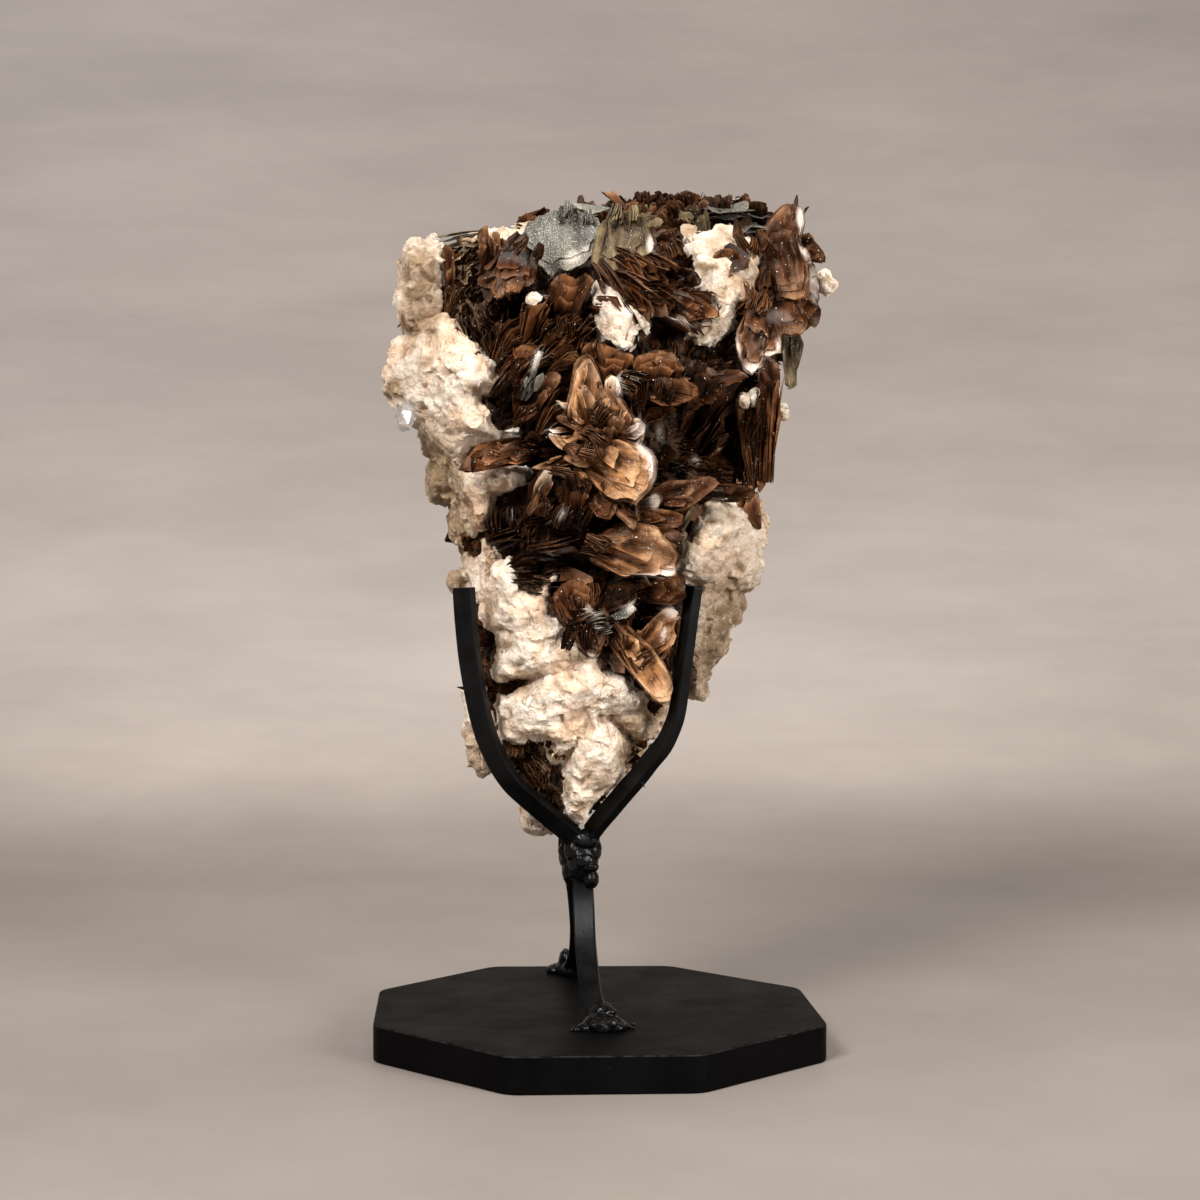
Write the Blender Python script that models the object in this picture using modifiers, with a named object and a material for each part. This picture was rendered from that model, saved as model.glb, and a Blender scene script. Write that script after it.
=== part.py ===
"""Natural mica and feldspar specimen held by a welded three-armed steel stand on an octagonal base.

Metres, +Z up. The origin is the middle of the base's underside, and the front of the specimen faces -Y.
"""

import math
import random

import bmesh
import bpy
from mathutils import Matrix, Vector, noise

# Driving dimensions
GAP = 0.0003  # clearance between pieces that touch

BASE_THICKNESS = 0.017
BASE_CORNER_ROUND = 0.005
BASE_EDGE_ROUND = 0.0008
# The board was sawn by hand, so its eight sides differ by a few millimetres.
BASE_CORNERS = (
    (-0.042, -0.103),
    (0.042, -0.104),
    (0.104, -0.045),
    (0.102, 0.040),
    (0.044, 0.101),
    (-0.045, 0.104),
    (-0.100, 0.046),
    (-0.101, -0.035),
)

BAR_WIDTH = 0.0095  # flat side of the bar
BAR_THICKNESS = 0.0048  # narrow side of the bar
BAR_EDGE = 0.0008  # softened edge of the bar
LEFT_ARM = (
    (-0.0595, -0.0420, 0.2145),
    (-0.0586, -0.0420, 0.2000),
    (-0.0568, -0.0410, 0.1821),
    (-0.0537, -0.0390, 0.1640),
    (-0.0501, -0.0360, 0.1493),
    (-0.0447, -0.0320, 0.1362),
    (-0.0379, -0.0270, 0.1252),
    (-0.0295, -0.0200, 0.1165),
    (-0.0201, -0.0120, 0.1076),
    (-0.0106, -0.0060, 0.0990),
    (-0.0060, -0.0040, 0.0930),
)
RIGHT_ARM = (
    (0.0438, -0.0380, 0.2147),
    (0.0416, -0.0380, 0.1994),
    (0.0403, -0.0375, 0.1882),
    (0.0388, -0.0365, 0.1769),
    (0.0376, -0.0350, 0.1655),
    (0.0362, -0.0335, 0.1563),
    (0.0339, -0.0320, 0.1493),
    (0.0307, -0.0300, 0.1424),
    (0.0252, -0.0270, 0.1352),
    (0.0202, -0.0235, 0.1280),
    (0.0144, -0.0195, 0.1207),
    (0.0089, -0.0150, 0.1133),
    (0.0033, -0.0100, 0.1058),
    (-0.0014, -0.0055, 0.0987),
)
REAR_ARM = (
    (-0.0040, 0.0660, 0.2150),
    (-0.0048, 0.0650, 0.1950),
    (-0.0060, 0.0610, 0.1700),
    (-0.0075, 0.0520, 0.1450),
    (-0.0088, 0.0380, 0.1240),
    (-0.0100, 0.0220, 0.1070),
    (-0.0106, 0.0110, 0.0960),
    (-0.0108, 0.0070, 0.0880),
)
FRONT_LEG = (
    (-0.0044, -0.0005, 0.0880),
    (-0.0044, -0.0015, 0.0730),
    (-0.0041, -0.0050, 0.0620),
    (-0.0039, -0.0120, 0.0500),
    (-0.0032, -0.0220, 0.0390),
    (-0.0021, -0.0340, 0.0290),
    (0.0003, -0.0440, 0.0210),
    (0.0012, -0.0490, 0.0173),
)
REAR_LEG = (
    (-0.0089, 0.0062, 0.0850),
    (-0.0076, 0.0072, 0.0770),
    (-0.0060, 0.0130, 0.0660),
    (-0.0044, 0.0270, 0.0500),
    (-0.0040, 0.0470, 0.0350),
    (-0.0048, 0.0680, 0.0240),
    (-0.0056, 0.0830, 0.0173),
)

# Each bar's points, and the direction that its flat side faces, in degrees from the front to the left
BARS = {
    "left_arm": (LEFT_ARM, 30),
    "right_arm": (RIGHT_ARM, 72),
    "rear_arm": (REAR_ARM, 0),
    "front_leg": (FRONT_LEG, 8),
    "rear_leg": (REAR_LEG, 8),
}

# Weld beads: (centre, radii)
ARM_WELD = (
    ((-0.0046, -0.0010, 0.0870), (0.0074, 0.0085, 0.0115)),
    ((-0.0006, -0.0030, 0.0908), (0.0044, 0.0050, 0.0050)),
    ((-0.0012, -0.0030, 0.0776), (0.0038, 0.0050, 0.0046)),
    ((-0.0088, -0.0030, 0.0910), (0.0044, 0.0052, 0.0062)),
    ((-0.0094, 0.0030, 0.0800), (0.0048, 0.0066, 0.0070)),
    ((-0.0098, 0.0050, 0.0880), (0.0060, 0.0060, 0.0080)),
    ((-0.0034, -0.0060, 0.0965), (0.0064, 0.0046, 0.0048)),
)
FRONT_FOOT_WELD = (
    ((0.0020, -0.0490, 0.0190), (0.0088, 0.0090, 0.0056)),
    ((0.0075, -0.0500, 0.0182), (0.0058, 0.0070, 0.0034)),
    ((-0.0045, -0.0500, 0.0180), (0.0050, 0.0050, 0.0028)),
    ((0.0020, -0.0450, 0.0225), (0.0058, 0.0065, 0.0056)),
)
REAR_FOOT_WELD = (
    ((-0.0070, 0.0830, 0.0190), (0.0076, 0.0090, 0.0050)),
    ((-0.0125, 0.0860, 0.0184), (0.0060, 0.0060, 0.0034)),
    ((-0.0092, 0.0830, 0.0225), (0.0036, 0.0050, 0.0066)),
    ((-0.0056, 0.0750, 0.0205), (0.0056, 0.0066, 0.0050)),
)

WELDS = {
    "arm_weld": ARM_WELD,
    "front_foot_weld": FRONT_FOOT_WELD,
    "rear_foot_weld": REAR_FOOT_WELD,
}
BEAD_VOXEL = 0.0011
BEAD_ROUGHNESS = 0.0007
BEAD_KEPT = 0.07  # share of the fused drops' faces that is kept

# Specimen. Heights of the body, each with its left, right, front and back limits
CORE_SECTIONS = (
    (0.104, -0.014, 0.002, -0.010, 0.010),
    (0.112, -0.026, 0.008, -0.016, 0.022),
    (0.125, -0.038, 0.018, -0.021, 0.032),
    (0.145, -0.050, 0.030, -0.026, 0.042),
    (0.165, -0.053, 0.040, -0.030, 0.050),
    (0.190, -0.057, 0.054, -0.034, 0.056),
    (0.215, -0.060, 0.064, -0.037, 0.059),
    (0.240, -0.065, 0.076, -0.040, 0.062),
    (0.265, -0.072, 0.082, -0.043, 0.066),
    (0.290, -0.082, 0.086, -0.046, 0.069),
    (0.315, -0.087, 0.089, -0.048, 0.072),
    (0.340, -0.085, 0.096, -0.046, 0.074),
    (0.360, -0.080, 0.097, -0.036, 0.075),
    (0.374, -0.062, 0.090, -0.016, 0.074),
    (0.384, -0.024, 0.080, 0.006, 0.070),
    (0.391, 0.012, 0.066, 0.022, 0.060),
)
CORE_SQUARENESS = 2.6  # 2 is an ellipse, more is boxier
CORE_SIDES = 40

# Feldspar masses: (centre, radii, squareness, turn about the sight line in degrees)
FELDSPAR = (
    ((-0.0780, -0.0220, 0.3530), (0.0110, 0.0180, 0.0215), 5.0, -4),
    ((-0.0700, -0.0360, 0.3120), (0.0270, 0.0240, 0.0255), 2.4, -20),
    ((-0.0640, -0.0360, 0.2860), (0.0200, 0.0200, 0.0200), 2.6, -35),
    ((-0.0510, -0.0420, 0.2900), (0.0110, 0.0140, 0.0120), 2.6, 0),
    ((-0.0390, -0.0480, 0.2850), (0.0085, 0.0090, 0.0034), 2.2, -6),
    ((-0.0520, -0.0420, 0.2600), (0.0140, 0.0150, 0.0160), 3.0, -10),
    ((-0.0420, -0.0460, 0.2640), (0.0130, 0.0110, 0.0066), 2.6, 0),
    ((-0.0545, -0.0400, 0.2440), (0.0080, 0.0120, 0.0120), 2.4, 10),
    ((-0.0400, -0.0400, 0.2120), (0.0115, 0.0150, 0.0210), 2.6, 10),
    ((-0.0250, -0.0430, 0.2020), (0.0120, 0.0140, 0.0140), 2.4, 20),
    ((-0.0300, -0.0440, 0.1860), (0.0200, 0.0160, 0.0130), 2.6, 30),
    ((-0.0120, -0.0460, 0.1780), (0.0180, 0.0150, 0.0150), 2.6, 35),
    ((-0.0220, -0.0430, 0.1550), (0.0230, 0.0160, 0.0150), 2.6, 15),
    ((0.0090, -0.0420, 0.1640), (0.0170, 0.0150, 0.0110), 2.6, 20),
    ((0.0160, -0.0340, 0.1490), (0.0140, 0.0130, 0.0080), 2.4, -35),
    ((0.0010, -0.0360, 0.1380), (0.0150, 0.0150, 0.0170), 2.6, 10),
    ((-0.0060, -0.0230, 0.1170), (0.0090, 0.0120, 0.0140), 2.4, 5),
    ((0.0640, -0.0220, 0.2370), (0.0170, 0.0200, 0.0170), 3.2, 25),
    ((0.0620, -0.0180, 0.2180), (0.0140, 0.0190, 0.0120), 2.6, 0),
    ((0.0570, -0.0080, 0.1970), (0.0120, 0.0190, 0.0170), 2.4, 15),
    ((0.0500, 0.0000, 0.1780), (0.0090, 0.0160, 0.0130), 2.4, 20),
    ((0.0480, 0.0020, 0.1640), (0.0060, 0.0070, 0.0045), 2.2, 10),
    ((0.0090, -0.0440, 0.3370), (0.0130, 0.0120, 0.0150), 4.0, -8),
    ((0.0600, -0.0360, 0.3600), (0.0185, 0.0180, 0.0190), 3.0, -10),
    ((0.0530, -0.0400, 0.3320), (0.0125, 0.0140, 0.0080), 2.6, -15),
    ((0.0780, -0.0300, 0.3620), (0.0060, 0.0100, 0.0080), 2.4, 0),
    ((0.1060, -0.0080, 0.3520), (0.0060, 0.0080, 0.0060), 2.6, 15),
    ((-0.0660, -0.0160, 0.2250), (0.0070, 0.0120, 0.0160), 2.4, 5),
    ((-0.0520, 0.0060, 0.1440), (0.0080, 0.0120, 0.0170), 2.6, 8),
    ((-0.0240, 0.0160, 0.1100), (0.0090, 0.0090, 0.0080), 2.4, 0),
    ((-0.0550, 0.0450, 0.3250), (0.0240, 0.0240, 0.0280), 2.8, 15),
    ((0.0150, 0.0580, 0.2950), (0.0280, 0.0180, 0.0240), 3.0, -12),
    ((0.0600, 0.0480, 0.2500), (0.0200, 0.0180, 0.0240), 2.6, 20),
    ((-0.0330, 0.0500, 0.2350), (0.0220, 0.0170, 0.0300), 2.8, 10),
    ((0.0180, 0.0440, 0.1950), (0.0200, 0.0160, 0.0220), 2.6, -25),
    ((-0.0250, 0.0330, 0.1600), (0.0170, 0.0140, 0.0200), 2.6, 15),
    ((0.0550, 0.0560, 0.3550), (0.0240, 0.0180, 0.0160), 3.2, 0),
)

# Clear quartz chip on the left flank: centre and radii
QUARTZ_CHIP = ((-0.0850, -0.0180, 0.2910), (0.0060, 0.0080, 0.0056), 3.0, 30)

# Books of mica that open to the front. Each row gives the x and z of the book's tip as seen from EYE,
# the direction it grows in (degrees from +X towards +Z), its lift towards the front, the turn of its
# plates about that direction (0 is flat on, 90 is edge on), its length, half the angle it fans over,
# the spread between its outer plates, and how far its tip stands out from the body.
EYE = Vector((-0.0658, -1.2507, 0.2722))
FRONT_BOOKS = (
    (-0.066, 0.370, 100, 25, 0, 0.022, 22, 12, 0.006),
    (-0.058, 0.369, -90, 60, 0, 0.020, 35, 10, 0.004),
    (-0.050, 0.377, 97, 18, 50, 0.028, 18, 12, 0.010),
    (-0.048, 0.346, -112, 22, 0, 0.030, 30, 16, 0.014),
    (-0.034, 0.347, -75, 22, 0, 0.028, 34, 16, 0.013),
    (-0.072, 0.350, 140, 35, 40, 0.018, 34, 20, 0.008),
    (-0.059, 0.345, 112, 32, 80, 0.040, 20, 26, 0.010),
    (-0.047, 0.333, 112, 32, 80, 0.038, 20, 26, 0.008),
    (-0.010, 0.348, 54, 28, 74, 0.040, 22, 24, 0.012),
    (-0.024, 0.338, 52, 30, 66, 0.036, 24, 24, 0.010),
    (-0.003, 0.330, 44, 25, 45, 0.030, 24, 20, 0.010),
    (-0.032, 0.324, 75, 38, 10, 0.018, 38, 16, 0.010),
    (-0.016, 0.309, 62, 22, 55, 0.030, 20, 22, 0.010),
    (-0.017, 0.356, -95, 30, 0, 0.030, 38, 6, 0.016),
    (0.014, 0.353, -88, 24, 0, 0.030, 32, 8, 0.018),
    (-0.012, 0.386, 75, 20, 40, 0.020, 40, 20, 0.004),
    (0.028, 0.396, 95, 5, 30, 0.018, 48, 22, -0.020),
    (0.050, 0.378, -95, 68, 0, 0.034, 40, 8, 0.003),
    (0.074, 0.377, -80, 68, 0, 0.034, 40, 8, 0.003),
    (0.060, 0.395, 90, 5, 20, 0.016, 55, 20, -0.030),
    (0.079, 0.390, 70, 5, 20, 0.014, 50, 20, -0.026),
    (0.094, 0.386, 83, 10, 10, 0.046, 17, 10, 0.008),
    (0.105, 0.367, 12, 5, 30, 0.018, 40, 22, -0.006),
    (0.104, 0.337, -10, 5, 30, 0.016, 38, 22, -0.010),
    (0.091, 0.346, -84, 18, 0, 0.028, 33, 14, 0.012),
    (0.088, 0.329, -90, 22, 0, 0.022, 46, 14, 0.014),
    (0.075, 0.313, -103, 18, 0, 0.030, 30, 16, 0.018),
    (0.093, 0.307, -85, 0, 20, 0.024, 20, 14, -0.004),
    (0.043, 0.335, -38, 22, 62, 0.040, 18, 20, 0.014),
    (0.030, 0.345, -42, 26, 68, 0.034, 18, 20, 0.012),
    (0.041, 0.374, 95, 18, 70, 0.040, 14, 16, 0.010),
    (0.058, 0.338, -15, 22, 66, 0.026, 20, 16, 0.016),
    (0.022, 0.321, 118, 32, 10, 0.022, 38, 16, 0.008),
    (0.037, 0.320, 80, 32, 10, 0.022, 38, 16, 0.008),
    (0.046, 0.302, -15, 26, 0, 0.030, 30, 16, 0.012),
    (0.071, 0.310, 6, 14, 30, 0.030, 14, 12, 0.008),
    (0.060, 0.326, 65, 28, 30, 0.022, 34, 20, 0.004),
    (0.082, 0.317, 89, 12, 75, 0.056, 9, 14, 0.006),
    (0.058, 0.303, 66, 12, 72, 0.040, 14, 18, -0.014),
    (0.070, 0.253, -85, 68, 0, 0.020, 46, 12, 0.000),
    (0.040, 0.282, 15, 36, 10, 0.024, 50, 18, 0.006),
    (-0.001, 0.318, 91, 20, 0, 0.042, 17, 14, 0.022),
    (-0.018, 0.297, 165, 22, 10, 0.028, 18, 16, 0.020),
    (-0.018, 0.281, 178, 20, 10, 0.030, 15, 16, 0.020),
    (0.010, 0.311, 74, 18, 0, 0.030, 16, 12, 0.022),
    (0.025, 0.287, 8, 22, 0, 0.028, 22, 14, 0.022),
    (0.028, 0.268, -18, 24, 0, 0.036, 36, 14, 0.026),
    (-0.022, 0.267, 76, 22, 10, 0.026, 18, 14, 0.014),
    (-0.006, 0.265, 80, 36, 0, 0.018, 48, 20, 0.018),
    (0.016, 0.241, -78, 26, 10, 0.032, 22, 14, 0.024),
    (-0.038, 0.255, 96, 18, 74, 0.030, 15, 22, 0.008),
    (-0.004, 0.245, 20, 26, 68, 0.036, 20, 24, 0.010),
    (-0.010, 0.229, 16, 24, 60, 0.034, 20, 24, 0.012),
    (0.037, 0.221, -12, 26, 6, 0.040, 24, 14, 0.024),
    (0.056, 0.259, 18, 22, 20, 0.036, 16, 14, 0.014),
    (-0.008, 0.216, 84, 32, 0, 0.018, 42, 16, 0.014),
    (0.001, 0.203, -55, 30, 0, 0.024, 36, 18, 0.018),
    (0.000, 0.181, -92, 26, 0, 0.030, 26, 16, 0.016),
    (0.018, 0.202, 18, 30, 20, 0.024, 24, 18, 0.014),
    (0.044, 0.210, 0, 22, 30, 0.024, 28, 20, 0.004),
    (0.036, 0.163, -54, 16, 5, 0.044, 20, 10, 0.006),
    (0.036, 0.200, 55, 16, 10, 0.020, 24, 12, 0.004),
    (-0.073, 0.260, 160, 8, 60, 0.018, 24, 20, 0.002),
    (-0.070, 0.243, 190, 8, 60, 0.016, 24, 20, 0.002),
)

# Books round the sides and the back
PLATE_THICKNESS = 0.0026  # one solid plate stands for several real sheets
PLATE_ROOT = ((-0.12, -0.5), (-0.12, 0.5))  # its inner corners, in shares of its length and width
PLATE_STEP = 1.1  # distance between plates of a book, in plate thicknesses

# Books scattered round the back, between two heights
BACK_BOOKS = 22
BACK_SEED = 11
BACK_PROUD = 0.014
BACK_LOW, BACK_HIGH = 0.150, 0.375
BACK_SCATTER = 0.010
BACK_ARC = 230  # degrees round the back that carry books
BACK_TURN = 137.5  # degrees from one book to the next
BACK_LENGTHS = (0.030, 0.042)
BACK_HALF_ANGLES = (20, 40)
BACK_SPREADS = (12, 22)

# Surface of the fused rock
ROCK_VOXEL = 0.0042
ROCK_ROUGHNESS = 0.0030
ROCK_FACES = 1700

FLOOR_BLOCK = 0.3  # side of the block that keeps the steel clear of the base

METAL_BLACK = (0.012, 0.012, 0.013, 1)
WOOD_BLACK = (0.010, 0.009, 0.009, 1)
ROCK_CREAM = (0.62, 0.50, 0.38, 1)


def clear_scene():
    for old in list(bpy.data.objects):
        bpy.data.objects.remove(old)


def new_collection(name):
    collection = bpy.data.collections.new(name)
    bpy.context.scene.collection.children.link(collection)
    return collection


def principled(name, colour, roughness, metallic):
    material = bpy.data.materials.new(name)
    material.use_nodes = True
    shader = material.node_tree.nodes["Principled BSDF"]
    shader.inputs["Base Color"].default_value = colour
    shader.inputs["Roughness"].default_value = roughness
    shader.inputs["Metallic"].default_value = metallic
    return material


def object_from(bm, name, collection):
    mesh = bpy.data.meshes.new(name)
    bm.to_mesh(mesh)
    bm.free()
    made = bpy.data.objects.new(name, mesh)
    collection.objects.link(made)
    return made


def as_cutter(cutter):
    cutter.hide_render = True
    cutter.display_type = "WIRE"


def evaluated_mesh(made):
    bpy.context.view_layer.update()
    graph = bpy.context.evaluated_depsgraph_get()
    return bpy.data.meshes.new_from_object(made.evaluated_get(graph))


def bake_modifiers(made):
    mesh = evaluated_mesh(made)
    made.modifiers.clear()
    made.data = mesh


def keep_largest_island(mesh):
    """Drops sealed bubbles and loose crumbs."""
    bm = bmesh.new()
    bm.from_mesh(mesh)
    left = set(bm.verts)
    islands = []
    while left:
        found = {left.pop()}
        edge_of_search = list(found)
        while edge_of_search:
            vert = edge_of_search.pop()
            for edge in vert.link_edges:
                other = edge.other_vert(vert)
                if other in left:
                    left.remove(other)
                    found.add(other)
                    edge_of_search.append(other)
        islands.append(found)
    islands.sort(key=len)
    crumbs = [vert for island in islands[:-1] for vert in island]
    bmesh.ops.delete(bm, geom=crumbs, context="VERTS")
    bm.to_mesh(mesh)
    bm.free()


# Base


def build_base(collection, material):
    bm = bmesh.new()
    bmesh.ops.create_cone(
        bm, cap_ends=True, segments=8, radius1=0.1, radius2=0.1, depth=BASE_THICKNESS
    )
    for vert in bm.verts:
        step = round(math.degrees(math.atan2(vert.co.y, vert.co.x)) / 45)
        vert.co = (*BASE_CORNERS[(step + 2) % 8], vert.co.z + BASE_THICKNESS / 2)
    upright = [e for e in bm.edges if abs(e.verts[0].co.z - e.verts[1].co.z) > BASE_THICKNESS / 2]
    bmesh.ops.bevel(
        bm, geom=upright, offset=BASE_CORNER_ROUND, segments=3, profile=0.5, affect="EDGES"
    )
    rims = [
        e
        for e in bm.edges
        if abs(e.verts[0].co.z - e.verts[1].co.z) < 1e-5 and e.calc_face_angle(0) > 1
    ]
    bmesh.ops.bevel(bm, geom=rims, offset=BASE_EDGE_ROUND, segments=1, profile=0.5, affect="EDGES")
    base = object_from(bm, "base", collection)
    base.data.materials.append(material)
    return base


# Bars


def bar_section(half_width, half_thickness, edge):
    """The corners of a flat bar's section, going round: across the flat side, along the narrow one."""
    inner_width, inner_thickness = half_width - edge, half_thickness - edge
    return (
        (-inner_width, half_thickness),
        (-half_width, inner_thickness),
        (-half_width, -inner_thickness),
        (-inner_width, -half_thickness),
        (inner_width, -half_thickness),
        (half_width, -inner_thickness),
        (half_width, inner_thickness),
        (inner_width, half_thickness),
    )


def bar_object(name, points, facing, collection, extra=0.0):
    """A flat bar along these points, larger all round by extra."""
    places = [Vector(point) for point in points]
    turn = math.radians(facing)
    flat_way = Vector((-math.sin(turn), -math.cos(turn), 0))
    section = bar_section(BAR_WIDTH / 2 + extra, BAR_THICKNESS / 2 + extra, BAR_EDGE)
    bm = bmesh.new()
    rings = []
    for before, place, after in zip(places[:1] + places, places, places[1:] + places[-1:]):
        along = (after - before).normalized()
        out = (flat_way - along * flat_way.dot(along)).normalized()
        across = along.cross(out)
        rings.append([bm.verts.new(place + across * w + out * t) for w, t in section])
    for lower, upper in zip(rings, rings[1:]):
        for i in range(len(section)):
            j = (i + 1) % len(section)
            bm.faces.new((lower[i], lower[j], upper[j], upper[i]))
    bm.faces.new(rings[0])
    bm.faces.new(rings[-1])
    bmesh.ops.recalc_face_normals(bm, faces=bm.faces)
    return object_from(bm, name, collection)


def longer(points, start, end):
    """The same points with the first and the last moved outwards along the bar."""
    first, second = Vector(points[0]), Vector(points[1])
    last, before = Vector(points[-1]), Vector(points[-2])
    head = first + (first - second).normalized() * start
    tail = last + (last - before).normalized() * end
    return (tuple(head), *points[1:-1], tuple(tail))


def cut_away(made, cutter):
    cut = made.modifiers.new("clear_" + cutter.name, "BOOLEAN")
    cut.operation = "DIFFERENCE"
    cut.object = cutter


# Weld beads


def bead_object(name, drops, collection):
    """Overlapping drops of weld metal, fused in one."""
    bm = bmesh.new()
    for centre, radii in drops:
        drop = bmesh.ops.create_icosphere(bm, subdivisions=2, radius=1)
        for vert in drop["verts"]:
            place = Vector(centre) + Vector(c * r for c, r in zip(vert.co, radii))
            vert.co = place + vert.co * BEAD_ROUGHNESS * noise.noise(place * 320)
    bead = object_from(bm, name, collection)
    fuse = bead.modifiers.new("fuse", "REMESH")
    fuse.mode = "VOXEL"
    fuse.voxel_size = BEAD_VOXEL
    thin = bead.modifiers.new("thin", "DECIMATE")
    thin.ratio = BEAD_KEPT
    bake_modifiers(bead)
    return bead


# Specimen


def between(rows, height):
    """The limits of the body at this height, read between the rows of CORE_SECTIONS."""
    if height <= rows[0][0]:
        return rows[0][1:]
    for low, high in zip(rows, rows[1:]):
        if height <= high[0]:
            share = (height - low[0]) / (high[0] - low[0])
            return tuple(a + (b - a) * share for a, b in zip(low[1:], high[1:]))
    return rows[-1][1:]


def on_body(angle, height):
    """The point of the body's surface at this angle round it, and its outward direction."""
    left, right, front, back = between(CORE_SECTIONS, height)
    half_x, half_y = (right - left) / 2, (back - front) / 2
    along, across = math.cos(angle), math.sin(angle)
    power = CORE_SQUARENESS
    reach = (abs(along) ** power + abs(across) ** power) ** (-1 / power)
    x = (left + right) / 2 + half_x * reach * along
    y = (front + back) / 2 + half_y * reach * across
    outward = Vector((along * half_y, across * half_x, 0)).normalized()
    return Vector((x, y, height)), outward


def front_depth(x, height):
    """The y of the body's front surface at this x and height."""
    left, right, front, back = between(CORE_SECTIONS, height)
    offset = min(abs(x - (left + right) / 2) / ((right - left) / 2), 0.97)
    bulge = (1 - offset**CORE_SQUARENESS) ** (1 / CORE_SQUARENESS)
    return (front + back) / 2 - (back - front) / 2 * bulge


def slid_back(x, z, y):
    """The point at depth y on the sight line from EYE through (x, 0, z)."""
    line = Vector((x, 0, z)) - EYE
    return EYE + line * ((y - EYE.y) / line.y)


def add_core(bm):
    rings = []
    for section in CORE_SECTIONS:
        ring = [
            bm.verts.new(on_body(2 * math.pi * i / CORE_SIDES, section[0])[0])
            for i in range(CORE_SIDES)
        ]
        rings.append(ring)
    for lower, upper in zip(rings, rings[1:]):
        for i in range(CORE_SIDES):
            j = (i + 1) % CORE_SIDES
            bm.faces.new((lower[i], lower[j], upper[j], upper[i]))
    bm.faces.new(reversed(rings[0]))
    bm.faces.new(rings[-1])


def add_boulder(bm, centre, radii, squareness, turn):
    """A rounded block: a sphere pressed towards a box, then scaled and turned about the Y axis."""
    made = bmesh.ops.create_icosphere(bm, subdivisions=3, radius=1)
    spin = Matrix.Rotation(math.radians(-turn), 3, "Y")
    for vert in made["verts"]:
        size = sum(abs(c) ** squareness for c in vert.co) ** (1 / squareness)
        shaped = Vector(c / size * r for c, r in zip(vert.co, radii))
        vert.co = Vector(centre) + spin @ shaped


def rough_shift(place):
    """How far the broken surface stands out here: blocky lumps with small ledges."""
    broad = noise.noise(place * 55)
    cells = noise.voronoi(place * 75)[0][0]
    fine = noise.noise(place * 190)
    return ROCK_ROUGHNESS * (0.9 * broad + 1.1 * (0.45 - cells) + 0.45 * fine)


def build_rock(collection):
    bm = bmesh.new()
    add_core(bm)
    for boulder in (*FELDSPAR, QUARTZ_CHIP):
        add_boulder(bm, *boulder)
    rock = object_from(bm, "mica_specimen", collection)
    fuse = rock.modifiers.new("fuse", "REMESH")
    fuse.mode = "VOXEL"
    fuse.voxel_size = ROCK_VOXEL
    bake_modifiers(rock)
    keep_largest_island(rock.data)
    outward = [vert.normal.copy() for vert in rock.data.vertices]
    for vert, normal in zip(rock.data.vertices, outward):
        vert.co += normal * rough_shift(vert.co)
    thin = rock.modifiers.new("thin", "DECIMATE")
    thin.ratio = ROCK_FACES / (2 * len(rock.data.polygons))
    bake_modifiers(rock)
    return rock


def book_axes(aim, lift, turn):
    """The growth, width and stacking directions of a book that opens to the front."""
    aim, lift, turn = (math.radians(a) for a in (aim, lift, turn))
    front = Vector((0, -1, 0))
    growth = Vector((math.cos(aim), 0, math.sin(aim))) * math.cos(lift) + front * math.sin(lift)
    stack = (front - growth * front.dot(growth)).normalized()
    stack = Matrix.Rotation(turn, 3, growth) @ stack
    return growth, stack.cross(growth), stack


def add_plate(name, root, axes, length, half_angle, lean, shift, dice, collection):
    """One flat plate: a fan-shaped outline with an uneven tip, thickened along the stack."""
    growth, width, stack = axes
    lean = Matrix.Rotation(lean, 3, width)
    growth, stack = lean @ growth, lean @ stack
    half = math.radians(half_angle)
    reaches = []
    for share in (1, 0.4, -0.4, -1):
        angle = share * half
        reach = (1 - 0.16 * abs(share)) * dice.uniform(0.88, 1.04)
        reaches.append((reach * math.cos(angle), reach * math.sin(angle)))
    points = [(a, w * math.sin(half)) for a, w in PLATE_ROOT] + reaches
    bm = bmesh.new()
    ring = [
        bm.verts.new(root + (growth * a + width * w) * length + stack * (shift - PLATE_THICKNESS / 2))
        for a, w in points
    ]
    face = bm.faces.new(ring)
    grown = bmesh.ops.extrude_face_region(bm, geom=[face])
    top = [part for part in grown["geom"] if isinstance(part, bmesh.types.BMVert)]
    bmesh.ops.translate(bm, verts=top, vec=stack * PLATE_THICKNESS)
    bmesh.ops.recalc_face_normals(bm, faces=bm.faces)
    plate = object_from(bm, name, collection)
    as_cutter(plate)


def add_book(number, tip, axes, length, half_angle, spread, dice, collection):
    """One to three plates, spread like the pages of a book, from a root inside the rock."""
    root = tip - axes[0] * length
    plates = 1 + (length > 0.023) + (length > 0.041)
    for i in range(plates):
        share = (i + 0.5) / plates - 0.5
        add_plate(
            f"plate_{number}_{i}",
            root,
            axes,
            length * (1 - 0.1 * (share + 0.5)),
            half_angle,
            math.radians(-spread * 1.6) * share,
            share * plates * PLATE_THICKNESS * PLATE_STEP,
            dice,
            collection,
        )


def scattered(dice, most):
    return Vector([dice.uniform(-most, most) for _ in range(3)])


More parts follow.
